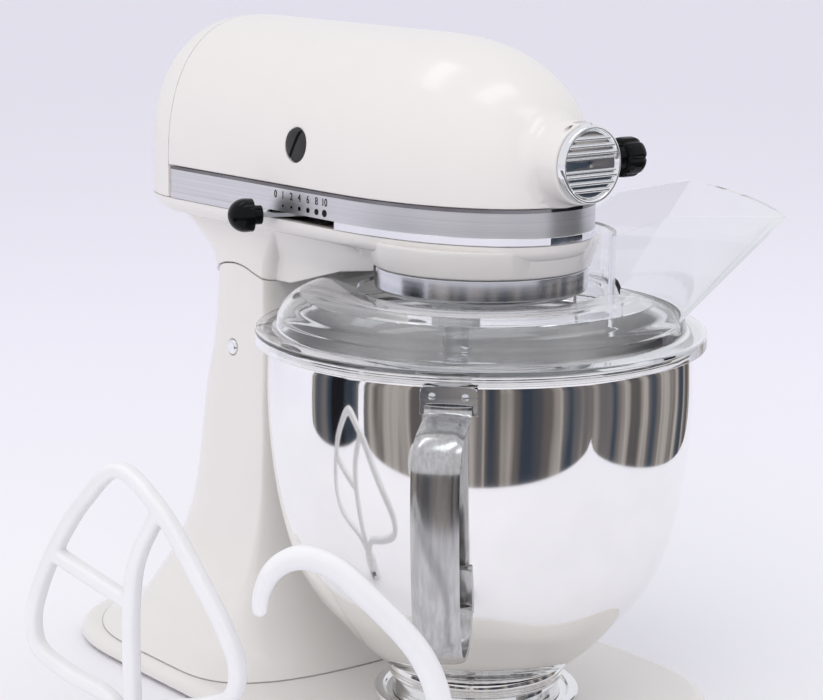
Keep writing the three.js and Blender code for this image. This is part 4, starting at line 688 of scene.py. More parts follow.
def column_rings(inset, lift):
    """Rings up the column. Its two end rings stand further apart by the lift."""
    foot_rise, upper_steps = 22, 36
    heights = [0, 1.2, 2.6, 4, 6, 8, 10, 13, 17, foot_rise]
    heights += [foot_rise + (COLUMN.rise - foot_rise) * i / upper_steps for i in range(1, upper_steps + 1)]
    lifts = [-lift] + [0] * (len(heights) - 2) + [lift]
    rings = []
    for height, raised in zip(heights, lifts):
        half, rear, front, rear_start, front_start = level_values(COLUMN_LEVELS, height)
        front -= inset
        rings.append(plan_ring(
            half - inset, rear + inset, rear_start, front, min(front_start, front - 4), HEAD.plan_power,
            COLUMN.nose_power, COLUMN_FLOOR + height + raised))
    return rings


def seam_line(slope, gap, last):
    return [(PIN.x + x, PIN.z + z + gap) for x, z in slope] + arc(
        PIN.seam + gap, 70, last, 25, (PIN.x, PIN.z))


def make_column():
    shell = loft("column", column_rings(0, 0))
    cut(shell, loft("hollow", column_rings(COLUMN.wall, OVERRUN)))
    shelf = block((COLUMN.shelf_rear, FAR), (-FAR, FAR), (COLUMN.shelf, COLUMN.shelf_top))
    join(shell, keep(shelf, loft("outer", column_rings(0.05, 0))))
    below, before = -5, PIN.x + SEAM_SLOPE[0][0]
    side = seam_line(SEAM_SLOPE, 0, 180) + [(BEHIND, PIN.z), (BEHIND, below), (before, below)]
    front = block((PIN.x, FAR), (-FAR, FAR), (below, PIN.z))
    keep(shell, join(upright(side, -FAR, FAR), front))
    low, high = COLUMN.shelf - OVERRUN, COLUMN.shelf_top + OVERRUN
    cut(shell,
        bar("bore", "y", PIN.radius + CLEARANCE, -FAR, FAR, PIN_PLACE),
        block(LOCK.slot, (LOCK.slot_start, FAR), (LOCK.slot_low, LOCK.slot_high)),
        bar("bore", "z", LOCK.pivot + CLEARANCE, low, high, (LOCK.x, LOCK.y, 0)),
        bar("bore", "z", HEIGHT_SCREW.radius + CLEARANCE, low, high, (HEIGHT_SCREW.x, 0, 0)))
    dress(shell, "base", PAINT, "column_casting")
    radius, end, chamfer = PIN.radius, PIN.end, 1.1
    pin = rounded([
        (0, -end), (3.2, -end, 1.2), (radius, -end + chamfer, 0.8), (radius, end - chamfer, 0.8),
        (3.2, end, 1.2), (0, end)], 0.5, 5)
    dress(lathe("pin", pin, 64, "y", PIN_PLACE), "base", CHROME, "hinge_pin")
    start = LOCK.knob_start
    outline = rounded([
        (0, start), (3.84, start, 0.6), (4.8, start + 2, 2), (6.4, start + 7.7, 4), (5.1, start + 12, 3),
        (2.6, start + 14, 2), (0, start + 14)], 1, 6)
    knob = lathe("lock_knob", outline, 64, "y", (LOCK.x, 0, LOCK.z))
    dress(knob, "lock", BLACK, "lock_lever_knob")


# Head


def round_share(share, power):
    return max(0.0, 1 - share ** power) ** (1 / power)


def head_ring(z, inset, share=0.0):
    """The head's plan at a height, pulled in by an inset, and by the share of the dome's rise below it."""
    nose_start, rear_start = HEAD.nose_start, HEAD.rear_start
    side_share = round_share(share, HEAD.power)
    nose = nose_start + (HEAD.nose - inset - nose_start) * round_share(share, HEAD.nose_power)
    rear = rear_start + (HEAD.rear + inset - rear_start) * side_share
    ring = plan_ring(
        (HEAD.half - inset) * side_share, rear, rear_start, nose, nose_start, HEAD.plan_power,
        HEAD.plan_power, z)
    length = HEAD.nose - HEAD.rear
    return [(x, y, z - HEAD.crown_drop * share * (x - HEAD.rear) / length) for x, y, z in ring]


def dome_rings(inset):
    steps = 44
    rise = HEAD.crown - inset - HEAD.band_top
    shares = [s ** (2 / HEAD.power) for s, _ in quarter(steps)]
    return [head_ring(HEAD.band_top + rise * share, inset, min(share, 1.0)) for share in shares]


def head_shell(name, low, skirt_outer, skirt_inner):
    """The hollow upper head, open below: rings up the outside, then down the inside."""
    top = HEAD.band_top
    outside = [head_ring(low, skirt_outer)]
    if skirt_outer:
        outside += [head_ring(top, skirt_outer), head_ring(top, 0.5), head_ring(top + 0.25, 0.12)]
        outside += dome_rings(0)[1:]
    else:
        outside += dome_rings(0)
    inside = [head_ring(low, skirt_inner), head_ring(top, skirt_inner)] + dome_rings(HEAD.wall)[1:]
    count = len(outside[0])
    first_in = len(outside) * count
    faces = ring_faces(len(outside), count)
    faces += [tuple(first_in + i for i in face) for face in ring_faces(len(inside), count)]
    for i in range(count):
        j = (i + 1) % count
        faces.append((i, j, first_in + j, first_in + i))
    return new_object(name, [p for ring in outside + inside for p in ring], faces)


def boss_fillet(dome):
    """A hollow curve between the nose and the hub boss, as a ring of material."""
    tree = BVHTree.FromObject(dome, bpy.context.evaluated_depsgraph_get())
    reach, deep, steps, segments = 7.0, 2.0, 8, 96

    def surface_spot(radius, angle, sunk=0.0):
        y, z = radius * math.cos(angle), HUB.z + radius * math.sin(angle)
        hit = tree.ray_cast(row((200, y, z)), Vector((-1, 0, 0)))[0]
        return Vector((spot_of(hit)[0] - sunk, y, z))

    rings = []
    for i in range(segments):
        angle = 2 * math.pi * i / segments
        foot = surface_spot(HUB.radius, angle)
        start = Vector((min(foot.x + reach, HUB.face - 0.4), foot.y, foot.z))
        end = surface_spot(HUB.radius + reach, angle)
        ring = [tuple(bend(start, foot, end, k / steps)) for k in range(steps + 1)]
        inner = surface_spot(HUB.radius - deep, angle, deep)
        outer = surface_spot(HUB.radius + reach, angle, deep)
        ring += [tuple(outer), tuple(inner), (start.x, inner.y, inner.z)]
        rings.append(ring)
    return loft("fillet", rings, closed_along=True)


def seam_block(xs):
    """A block across the head, over a stretch of its length."""
    low, high = 240, 370
    return block(xs, (-HEAD_FAR, HEAD_FAR), (low, high))


def make_housing():
    wall, low = HEAD.wall, HEAD.band_bottom + HEAD.lip + CLEARANCE
    hub_z, hinge_x = HUB.z, HUB.hinge_x
    hinge_z = hub_z + HUB.hinge_rise
    shell = head_shell("housing", low, HEAD.inset, HEAD.inset + wall)
    start, end = HUB.boss_start, HUB.face
    outline = rounded([(0, start), (HUB.radius, start), (HUB.radius, end, 1.4), (0, end)], 0.1, 6)
    boss = lathe("boss", outline, 96, "x", (0, 0, hub_z))
    cut(boss, loft("core", [head_ring(low - OVERRUN, HEAD.inset + wall)] + dome_rings(wall)))
    join(shell, boss, boss_fillet(shell))
    cut(shell,
        seam_block((BEHIND, HEAD.seam + CLEARANCE / 2)),
        bar("bore", "x", HUB.bore, 0, HEAD_FAR, (0, 0, hub_z), 64),
        block((hinge_x - HUB.notch_deep, HEAD_FAR), (-HUB.notch, HUB.notch),
              (hinge_z - HUB.notch_low, hinge_z + HUB.notch_high)),
        bar("bore", "y", HUB.knob_shank, 0, HEAD_FAR, (HUB.knob_x, 0, hub_z)),
        bar("bore", "y", BRUSH.cap_radius + CLEARANCE, -HEAD_FAR, HEAD_FAR, (BRUSH.x, 0, BRUSH.z), 64),
        bar("bore", "y", HUB.hinge_pin, -HEAD_FAR, HEAD_FAR, (hinge_x, 0, hinge_z), 24))
    dress(shell, "head", PAINT, "motor_housing", sharp=24)
    cover = head_shell("end_cover", HEAD.band_bottom + CLEARANCE, 0, wall)
    post_place = (0, 0, POST.z)
    post = bar("post", "x", POST.radius, HEAD.rear, POST.front, post_place)
    keep(post, loft("outer", [head_ring(262, 0.05)] + dome_rings(0.05)))
    join(cover, post)
    vents = []
    for y in (i * VENTS.pitch for i in range(-2, 3)):
        ys = (y - VENTS.half, y + VENTS.half)
        vents.append(block((BEHIND, VENTS.front), ys, (VENTS.low, VENTS.high)))
    cut(cover,
        seam_block((HEAD.seam - CLEARANCE / 2, FAR)), *vents,
        bar("bore", "x", POST.bore, BEHIND, 0, post_place, 32),
        bar("bore", "x", POST.head, BEHIND, POST.head_front, post_place))
    dress(cover, "head", PAINT, "rear_cover", sharp=24)


def tray_ring(z, inset, rear_inset):
    return plan_ring(
        HEAD.half - inset, HEAD.rear + rear_inset, HEAD.rear_start, HEAD.nose - inset,
        HEAD.nose_start, HEAD.plan_power, HEAD.plan_power, z)


def case_mass():
    """The rear mass of the case, and the arm that runs from it to the cone over the bowl."""
    low, flare_low, swell_rings, arm_rings = CASE.low, CASE.flare_low, [], []
    heights = [low, 206, 212, 216, 220, 224, 228, 231, 234, 236, flare_low]
    heights += [flare_low + 0.75 * i for i in range(1, 17)]
    for z in heights:
        rear, rear_start, front_start, front = level_values(SWELL_LEVELS, z)
        flare_share = 1 - math.sqrt(max(0.0, 1 - max(0.0, (z - flare_low) / CASE.flare_rise) ** 2))
        flare = CASE.flare * flare_share
        swell_rings.append(plan_ring(
            CASE.half + flare, rear - flare, rear_start, front + flare, front_start, HEAD.plan_power,
            COLUMN.nose_power, z))
        arm_half = CASE.arm_half + CASE.arm_swell * max(0.0, (z - CASE.arm_low) / CASE.arm_rise)
        arm_rings.append(plan_ring(
            arm_half + CASE.arm_flare * flare_share, CASE.arm_rear, CASE.arm_rear + 10, CASE.arm_front,
            CASE.arm_front - 4, HEAD.plan_power, COLUMN.nose_power, z))
    mass = join(loft("mass", swell_rings), loft("arm", arm_rings))
    seam = seam_line(SEAM_SLOPE[1:], CASE.seam_gap, 128)
    side = [(-24, 252), (-24, 233.5), (-60, 228)] + seam + [(-263, 222), (-263, 252)]
    return keep(mass, upright(rounded(side, 0.6, 2), -FAR, FAR))


def case_hood():
    """The rear of the head comes down over the column's rear wall as far as the tilting head allows."""
    line = arc(PIN.seam + CASE.seam_gap, 128, 154, 14, (PIN.x, PIN.z))
    side = line + [(-263, line[-1][1]), (-263, 247), (line[0][0], 247)]
    return keep(loft("hood", column_rings(0, OVERRUN)), upright(side, -FAR, FAR))


def make_gear_case():
    bottom, low = HEAD.band_bottom, CASE.low
    # How far below the band, in from the side, and in from the rear.
    levels = [
        (0, 0, 0), (0.5, 0.02, 0.2), (2, 0.15, 1.6), (4, 0.6, 4.4), (6, 1.8, 9), (7.2, 2.8, 12), (8, 4.4, 15)]
    tray = loft("gear_case", [tray_ring(bottom - drop, inset, rear) for drop, inset, rear in levels])
    inset = HEAD.inset
    lip = loft("lip", [head_ring(247, inset), head_ring(bottom + HEAD.lip, inset)])
    join(tray, cut(lip, seam_block((BEHIND, HEAD.seam))))
    cut(tray,
        loft("pocket", [head_ring(z, inset + HEAD.wall) for z in (CASE.pocket_low, CASE.pocket_high)]),
        block((BAND.slot_rear - 2, BAND.slot_front), (-HEAD.half, CASE.slot_near),
              (bottom, bottom + CASE.slot_rise)))
    cone_low, cone_top, cone = CASE.cone_low, CASE.cone_top, CASE.cone
    bore, foot, top = CASE.spigot_bore, CASE.spigot_low, CASE.spigot_top
    outline = rounded([
        (0, cone_low), (cone - 3.9, cone_low, 1.2), (cone, cone_top - 1.5, 1), (cone, cone_top),
        (0, cone_top)], 0.3, 4)
    join(tray, case_mass(), lathe("cone", outline, 160), case_hood())
    cut(tray,
        block(CASE.hollow, (-CASE.hollow_half, CASE.hollow_half), (low - OVERRUN, CASE.hollow_top)),
        bar("bore", "z", bore + 4, low, cone_low, segments=160),
        bar("bore", "z", CASE.shaft, low, HUB.z),
        bar("bore", "z", BUSH.radius + CLEARANCE, low, bottom, (BUSH.x, BUSH.y, 0)))
    join(tray, lathe("spigot", [(bore, foot), (CASE.spigot, foot), (CASE.spigot, top), (bore, top)], 160))
    for sign in (-1, 1):
        ys = sorted((sign * CASE.lug_near, sign * CASE.lug_far))
        lug = bar("lug", "y", CASE.lug, *ys, PIN_PLACE, 64)
        web = block((PIN.x - CASE.web_half, PIN.x + CASE.web_half), ys, (PIN.z, CASE.room_top))
        join(tray, join(lug, web))
    join(tray,
        bar("stop", "z", HEIGHT_SCREW.stop, HEIGHT_SCREW.stop_low, CASE.roof, (HEIGHT_SCREW.x, 0, 0)),
        bar("boss", "z", CASE.boss, CASE.roof, CASE.boss_top, segments=64),
        bar("post", "z", LEVER.pivot, CASE.room_top, LEVER.post_top, (LEVER.x, LEVER.y, 0)))
    screws = [(CASE.screw_x, side * CASE.screw_y, 0) for side in (-1, 1)]
    cut(tray,
        bar("bore", "z", bore, low, CASE.room_top, segments=160),
        bar("bore", "z", CASE.shaft, low, HUB.z),
        bar("bore", "y", PIN.radius + CLEARANCE, -FAR, FAR, PIN_PLACE),
        *bores("z", CASE.screw, low, CASE.screw_top, screws, 32))
    dress(tray, "head", PAINT, "gear_case", sharp=26)


# Trim band, its scale, the speed lever's knob and the caps of the brushes


def make_band():
    low, high = HEAD.band_bottom + CLEARANCE, HEAD.band_top - CLEARANCE
    plan = head_ring(0, 0)
    count = len(plan)
    rear, border, back = BAND.rear, BAND.border, -BAND.thick
    # The outline starts at the nose's near side and runs round the rear, so it is turned to start behind.
    start = next(i for i in range(count) if plan[i][0] <= rear < plan[(i + 1) % count][0])
    length = sum(p[0] > rear for p in plan)
    line = [plan[(start + 1 + k) % count] for k in range(length)]
    line = [(rear, line[0][1], 0)] + line + [(rear, line[-1][1], 0)]
    section = [
        (border, low), (border, low + 0.5), (border, low + 3.6), (0, low + 3.75), (0, low + 8),
        (0, high - 1.75), (border, high - 1.6), (border, high), (back, high), (back, low),
    ]
    rings = []
    for i, (x, y, _) in enumerate(line):
        along = heading(line, i)
        rings.append([(x + along.y * d, y - along.x * d, z) for d, z in section])
    strip = loft("band", rings)
    top, slot_front, bottom = HEAD.band_bottom + BAND.slot_height, BAND.slot_front, 250
    outline = [
        (BAND.slot_rear, bottom), (BAND.slot_rear, HEAD.band_bottom),
        (BAND.slot_rear + BAND.slot_point, top), (slot_front, top), (slot_front, bottom)]
    cut(strip, upright(outline, -80, -30))

    def pick(spot, normal):
        # The top strip takes the painted shade along the band's upper edge.
        if spot[2] > high - 1.7:
            return 2
        return 1 if spot[2] < low + 3.7 and spot[0] > slot_front - 1 else 0

    dress(strip, "head", [BRUSHED, CHROME, BAND_EDGE_SHADE], "trim_band", sharp=20, pick=pick)


def text_mesh(text):
    curve = bpy.data.curves.new("digits", "FONT")
    curve.body = text
    curve.size = SCALE.size * MM
    curve.extrude = SCALE.raised * MM
    curve.align_x = curve.align_y = "CENTER"
    letter = placed("digits", curve)
    graph = bpy.context.evaluated_depsgraph_get()
    mesh = bpy.data.meshes.new_from_object(letter.evaluated_get(graph))
    bpy.data.objects.remove(letter)
    return mesh


def make_scale():
    marks = [
        ("0", -92, 0), ("1", -85.6, 0.6), ("2", -78.3, 0.8), ("4", -71.4, 1.1), ("6", -64.1, 1.35),
        ("8", -56.9, 1.6), ("10", -50.3, 1.85)]
    face = -HEAD.half
    pieces = []
    for text, x, dot in marks:
        mesh = text_mesh(text)
        narrow = Matrix.Diagonal((SCALE.narrow, 1, 1, 1))
        mesh.transform(shift((x, face - 0.08, SCALE.digits_z)) @ spin("X", math.pi / 2) @ narrow)
        pieces.append(placed("digits", mesh))
        if dot:
            pieces.append(bar("dot", "y", dot, face - 0.14, face - 0.02, (x, 0, SCALE.dots_z), 40))
    dress(joined("speed_scale", *pieces), "head", BLACK)


def make_speed_knob():
    r, start, length = LEVER.knob_radius, LEVER.knob_start, LEVER.knob_length
    stem_shares = [(0, 0), (0.56, 0), (0.58, 0.26), (0.98, 0.27), (1.0, 0.5)]
    profile = [(r * out, -(start + length * along), 0.5) for out, along in stem_shares]
    dome = [(r * c, -(start + length * (0.5 + 0.5 * s))) for s, c in quarter(14)[1:]]
    outline = rounded(profile, 0.5, 4, closed=False) + dome
    knob = lathe("speed_knob", outline, 72, "y", (0, 0, LEVER.z))
    tail, tip = 6, 66
    outline = rounded([(-5, tail), (-5, -tail), (-2.5, -tip), (2.5, -tip), (5, -tail), (5, tail)], 0.6, 3)
    middle, half = LEVER.z, LEVER.thick / 2
    blade = loft("speed_blade", [[(x, y, z) for x, y in outline] for z in (middle - half, middle + half)])
    cut(blade, bar("bore", "z", LEVER.pivot + CLEARANCE, 250, 262))
    for piece in (knob, blade):
        turned_piece(piece, -math.radians(LEVER.rest), (LEVER.x, LEVER.y, 0))
    dress(knob, "speed_control", BLACK, "speed_lever_knob")
    dress(blade, "speed_control", STEEL, "speed_lever")


def make_brush_caps():
    place = (BRUSH.x, 0, BRUSH.z)
    top, under, half = BRUSH.cap_top, BRUSH.cap_top - BRUSH.cap_thick, BRUSH.slot_half
    radius, tube, bore = BRUSH.cap_radius, BRUSH.tube_radius, BRUSH.tube_bore
    profile = rounded([
        (bore, BRUSH.tube_start), (tube, BRUSH.tube_start), (tube, under), (radius, under, 0.3),
        (radius, top - 0.6, 1.6), (6, top + 0.1, 2), (0, top + 0.25), (0, under), (bore, under)], 0.2, 4)
    for side, sign in (("left", -1), ("right", 1)):
        cap = lathe(f"brush_cap_{side}", [(r, sign * h) for r, h in profile], 72, "y")
        slot = block((-12, 12), sorted((sign * (top - BRUSH.slot_deep), sign * (top + 4))), (-half, half))
        cut(turned_piece(cap, 0, place), turned_piece(slot, BRUSH.slot_tilt, place, "Y"))
        dress(cap, "head", DARK, f"brush_holder_{side}")


# Attachment hub


def hub_rib(profile, radius, x, z, half):
    """A rib across the hub cover, from its profile of (across, out)."""
    outline = rounded(profile, *radius)
    return loft("rib", [[(x + out, y, z + across) for across, out in outline] for y in (-half, half)])


def make_hub():
    z, cover, back = HUB.z, HUB.cover, HUB.face + CLEARANCE
    floor = back + 3
    disc = lathe("hub_disc", rounded([
        (0, back), (cover, back, 0.5), (cover, back + 4.4, 1.6), (cover - 1.4, back + 4.8, 1.3),
        (cover - 2.4, back + 3.6, 0.8), (cover - 2.8, floor, 0.5), (0, floor)], 0.3, 6), 128, "x", (0, 0, z))
    wide_rib = [(-0.95, -0.2), (0.95, -0.2), (0.75, 1.5, 0.7), (-0.75, 1.5, 0.7)]
    fine_rib = [(-0.5, -0.2), (0.5, -0.2), (0.4, 0.9, 0.4), (-0.4, 0.9, 0.4)]
    first, pitch, fine = 5.4, 3.4, 3.1
    ribs = []
    for sign in (-1, 1):
        for level in (sign * (first + pitch * i) for i in range(3)):
            half = math.sqrt((cover - 2.4) ** 2 - level ** 2) + 0.6
            ribs.append(hub_rib(wide_rib, (0.3, 5), floor, z + level, half))
    ribs += [hub_rib(fine_rib, (0.2, 4), floor, z + sign * fine, cover - 2.8) for sign in (-1, 1)]
    join(disc, *ribs)
    hinge_x, hinge_z, radius, half = HUB.hinge_x, z + HUB.hinge_rise, 2.3, HUB.notch - CLEARANCE
    knuckle = bar("knuckle", "y", radius, -half, half, (hinge_x, 0, hinge_z), 40)
    join(disc, join(knuckle, block((hinge_x, back + 0.3), (-half, half), (hinge_z - radius, hinge_z))))
    cut(disc, bar("bore", "y", HUB.hinge_pin, -20, 20, (hinge_x, 0, hinge_z), 24))
    dress(disc, "hub_cover", CHROME, "hub_cover", sharp=40)

    inner = [(0, 14.4), (3.2, 14.4), (3.2, 25.9), (7, 25.9), (7, 29.4), (7.4, 29.9)]
    outer = rounded([
        (7.6, 29.9), (9.4, 30.6, 1), (9.8, 33, 1), (9.8, 39.4, 2), (8.6, 42.2, 2.4), (5, 43.2, 2), (0, 43.2),
    ], 1, 6, closed=False)

    def flutes(angle, index):
        return 1 if index < 5 else 1 - 0.10 * max(0.0, math.cos(6 * angle)) ** 4

    knob = lathe("thumb_knob", inner + outer, 144, "y", (HUB.knob_x, 0, z), flutes)
    dress(knob, "hub_knob", BLACK, "hub_knob", sharp=50)


# Drip ring and the beater shaft below the head


def make_shaft():
    ring = rounded([
        (51.5, 224.4), (52.6, 224.4, 0.6), (53.3, 225.6, 0.8), (53.3, 235.5, 0.3), (52.8, 236), (51.5, 236),
    ], 0.2, 4)
    dress(lathe("drip_collar", ring, 200), "head", DRIP, "drip_ring")
    x, y = PLANET.offset * math.cos(PLANET.angle), PLANET.offset * math.sin(PLANET.angle)
    radius, bottom, top = SHAFT.radius, SHAFT.bottom, SHAFT.top
    profile = rounded([
        (0, bottom), (8, bottom, 0.5), (8, bottom + 2.4, 0.5), (radius, bottom + 2.6), (radius, 193),
        (5.5, 193.4), (5.5, 195), (radius, 195.4), (radius, top), (0, top)], 0.3, 4)
    rod = lathe("beater_rod", profile, 64, place=(x, y, 0))
    half = SHAFT.pin_half
    join(rod, bar("cross_pin", "x", SHAFT.pin_radius, -half, half, (x, y, SHAFT.pin_z), 32))
    dress(rod, "beater_drive", CHROME, "beater_shaft")
    washer = rounded([(6.6, 187.4), (20.5, 187.4, 0.5), (20.5, 188.8, 0.5), (6.6, 188.8)], 0.4, 4)
    dress(lathe("shaft_washer", washer, 96, place=(x, y, 0)), "beater_drive", DRIP, "beater_washer")


# Bowl, its foot and its handle


def make_bowl():
    rim_start = 196.6
    side = [p for p in smooth_line(BOWL_SIDE, 110) if p[1] < rim_start]
    rim = [(106.7, 197.0)] + arc(1.9, 250, 60, 12, (108.6, 199.6)) + [(107.4, 200.6), (106.0, 200.4)]
    inside = [(max(0.0, r), z) for r, z in moved(side, BOWL_WALL)][::-1]
    inside[-1] = (0, inside[-1][1])
    bowl = lathe("mixing_bowl", side + rim + [(105.3, 199.4)] + inside, 256)

    rim_low, floor_high = 199, 40

    def pick(spot, normal):
        x, y, z = spot
        inward = normal.x * x + normal.y * y < 0
        return 1 if inward and z < rim_low or z < floor_high and normal.z > 0.2 else 0

    dress(bowl, "bowl", [POLISHED, INSIDE], "bowl_shell", sharp=50, pick=pick)
    foot = rounded([
        (38, 28.8), (44.6, 30.3, 0.3), (45.4, 28.2, 0.8), (45.2, 27, 0.5), (43.7, 26.3, 0.3),
        (43.7, 25.6, 0.3), (45, 24.9, 0.5), (44.9, 23.6, 0.6), (43.2, 22.8, 0.4), (42.7, 19, 1),
        (42.7, 15.6, 1), (43.6, 13.4, 0.4), (41.2, 13.4)], 0.4, 5)
    dress(lathe("bowl_base", foot, 200), "bowl", POLISHED, "bowl_foot", sharp=50)


def make_strap():
    half, thick, bulge = HANDLE.half, HANDLE.thick, HANDLE.bulge
    low, gap = HANDLE.tab_low, HANDLE.tab_gap
    line = [
        (109.9, 187.6), (110.1, 184.8), (113.8, 182.2), (124, 180.5), (137, 178), (145.5, 170), (147.5, 158),
        (146, 130), (141, 100), (134, 80), (124, 71.5), (112, 71)]
    wall = [(r + gap, z) for r, z in BOWL_SIDE if low < z < HANDLE.tab_top]
    tab = smooth_line([line[-1], (103.5, 76.5), (97.2, 88)] + wall, 26)
    outer = []
    for share in (i / 6 - 1 for i in range(13)):
        outer.append((thick / 2 + bulge * (1 - share ** 2) - bulge * abs(share) ** 6, half * share))
    inner = [(out - 0.8 * thick, 0.96 * side) for out, side in reversed(outer)]
    strap = sweep("handle_strap", smooth_line(line, 90) + tab[1:], outer + inner, HANDLE.angle)
    dress(strap, "bowl", STRAP, "bowl_handle", sharp=45)


def make_strap_plate():
    radius, half, low, high = HANDLE.plate, HANDLE.plate_half, HANDLE.plate_low, HANDLE.plate_top
    turn, thick, middle = HANDLE.angle, HANDLE.plate_thick, (low + high) / 2
    half = math.asin(half / radius) * radius
    outline = rounded([(-half, low), (half, low), (half, high, 3.2), (-half, high, 3.2)], 0.4, 6)
    rings = []
    for out, shrink in ((0, 1), (HANDLE.plate_edge, 1), (thick, 0.97)):
        angles = [turn + along * shrink / radius for along, _ in outline]
        heights = [(z - middle) * shrink + middle for _, z in outline]
        rings.append([
            ((radius + out) * math.cos(a), (radius + out) * math.sin(a), z) for a, z in zip(angles, heights)])
    plate = loft("strap_plate", rings)
    dome = [(0, 1.0), (1.0, 0.85), (1.7, 0.4), (1.9, -0.4), (0, -0.4)]
    for offset in (-HANDLE.weld_y, HANDLE.weld_y):
        angle, out = turn + offset / radius, radius + thick
        place = (out * math.cos(angle), out * math.sin(angle), HANDLE.weld_z)
        join(plate, turned_piece(lathe("weld", dome, 24, "x"), angle, place))
    dress(plate, "bowl", DRIP, "handle_bracket", sharp=40)


# Pouring shield


def chute_wedge(wall, over):
    s = SHIELD
    sections = 33
    margin = math.degrees(wall / s.chute_foot)
    first, last = s.chute_start + margin, s.chute_end - margin
    collar, foot, low, high = s.collar + wall, s.chute_foot - wall, s.chute_low - over, s.lip_top + over
    rings = []
    for share in (i / (sections - 1) for i in range(sections)):
        angle = math.radians(first + (last - first) * share)
        lip = s.lip - s.lip_dip * math.sin(math.pi * share) ** 0.8 - wall
        lean = (lip - s.chute_foot) / (s.lip_top - s.chute_foot_top)
        outline = [
            (collar, low), (foot, low), (foot, s.chute_foot_top), (lip + lean * over, high),
            (s.bend + (wall if over else 0), s.bend_top + over), (collar, s.collar_top + over),
        ]
        rings.append([(r * math.cos(angle), r * math.sin(angle), z) for r, z in outline])
    return loft("chute", rings)


def make_shield():
    s = SHIELD
    wall, flange = s.wall, s.flange_top
    dome = smooth_line(SHIELD_DOME, 40)
    flange_line = [SHIELD_DOME[-1], (s.foot, flange, 2.5), (s.outer, flange, 1.0), (s.outer, s.skirt)]
    outside = dome + rounded(flange_line, 1, 6, closed=False)[1:]
    inner, floor = s.outer - wall, s.flange_bottom
    under = [(inner, s.skirt), (inner, floor), (s.foot - wall, floor)]
    steep_start, steep_run = 82, 16
    for r, z in reversed(dome):
        steep_share = min(1, (r - steep_start) / steep_run) if r > 90 else 0
        under.append((r - wall * steep_share, z - wall))
    shield = lathe("splash_shield", outside + under, 256)
    join(shield, chute_wedge(0, 0))
    cut(shield, chute_wedge(wall, OVERRUN))
    dress(shield, "shield", CLEAR, "pouring_shield", sharp=30)


# Flat beater and dough hook


def make_tool(name, solid, place, turn, parts):
    """One smoothed casting of the parts and a collar, with the socket of the beater shaft's cross pin."""
    radius, top = COLLAR.radius, COLLAR.height
    profile = rounded([
        (0, 0), (radius, 0, 0.6), (radius, top - 5, 2), (radius - 2.1, top, 2.5), (0, top)], 0.5, 6)
    tool = voxelled(joined(name, *parts, lathe("collar", profile, 72, place=place)), TOOL_GRAIN, TOOL_ROUNDS)
    room = bar("room", "z", COLLAR.bore, -OVERRUN, COLLAR.room, place)
    slot, reach, top = COLLAR.slot, (0, COLLAR.slot_reach), COLLAR.slot_top
    entry = block((-slot, slot), reach, (-OVERRUN, top))
    hold = block((-slot, COLLAR.hold), reach, (COLLAR.hold_low, top))
    cut(tool, room, *[turned_piece(one, turn, place) for one in (entry, hold)])
    dress(tool, solid, COAT, solid, sharp=40)


def make_beater():
    loop = [
        (0, 22), (-12, 46), (-40, 55), (-58, 64), (-61, 77), (-57, 92), (-45, 116), (-27, 141), (-6, 158.5),
        (16, 145), (39, 116), (55, 92), (61, 77), (58, 64), (40, 55), (12, 46), (0, 22)]
    wide, deep = 3.5, 4
    section = rounded([(-wide, -deep), (wide, -deep), (wide, deep), (-wide, deep)], 2.4, 5)
    spine = [(0, 20), (0, 96), (4, 118), (17, 142)]
    paths = [smooth_line(loop, 150), smooth_line(spine, 40), [(-46, 112), (0, 96)]]
    parts = [sweep("bar", path, section, BEATER_TURN, BEATER_PLACE) for path in paths]
    make_tool("beater", "flat_beater", BEATER_PLACE, BEATER_TURN, parts)


def make_hook():
    line = smooth_line([
        (0, 20), (0, 48), (-0.6, 74), (-9, 95), (-31, 120), (-47, 134), (-60, 138), (-71, 133), (-77, 122),
        (-78, 111)], 110)
    radius, count = 5.6, 28
    angles = [2 * math.pi * i / count for i in range(count)]
    circle = [(radius * math.cos(a), radius * math.sin(a)) for a in angles]
    taper_share, tip_share = 0.8, 0.985

    def taper(share):
        slim = 1 - 0.45 * max(0.0, (share - taper_share) / (1 - taper_share))
        if share < tip_share:
            return slim
        return slim * math.sqrt(max(0.05, 1 - ((share - tip_share) / (1 - tip_share)) ** 2))

    rod = sweep("rod", line, circle, HOOK_TURN, HOOK_PLACE, taper)
    make_tool("hook", "dough_hook", HOOK_PLACE, HOOK_TURN, [rod])


# Floor, lights and what the polished steel reflects


def make_floor():
    size, reach = 9000, 1.3
    corners = [(-size, -size, 0), (size, -size, 0), (size, size, 0), (-size, size, 0)]
    floor = new_object("floor", corners, [(0, 1, 2, 3)])
    made, tree, shader = nodes_of("floor")
    near = node(tree, "TexGradient", {"Vector": coordinates(tree, 1 / reach)}, gradient_type="SPHERICAL")
    # Painted light: the floor is coloured a touch darker and less blue near the machine than far from it,
    # standing in for how the light falls.
    stops = [(0.25, (0.92, 0.905, 0.975)), (0.7, (0.91, 0.905, 0.94))]
    feed(tree, shader, {
        "Base Color": ramp(tree, near.outputs["Fac"], stops), "Specular IOR Level": 0.1,
        "Roughness": ranged(tree, noise(tree, 30, 3), 0.7, 0.9)})
    floor.data.materials.append(made)


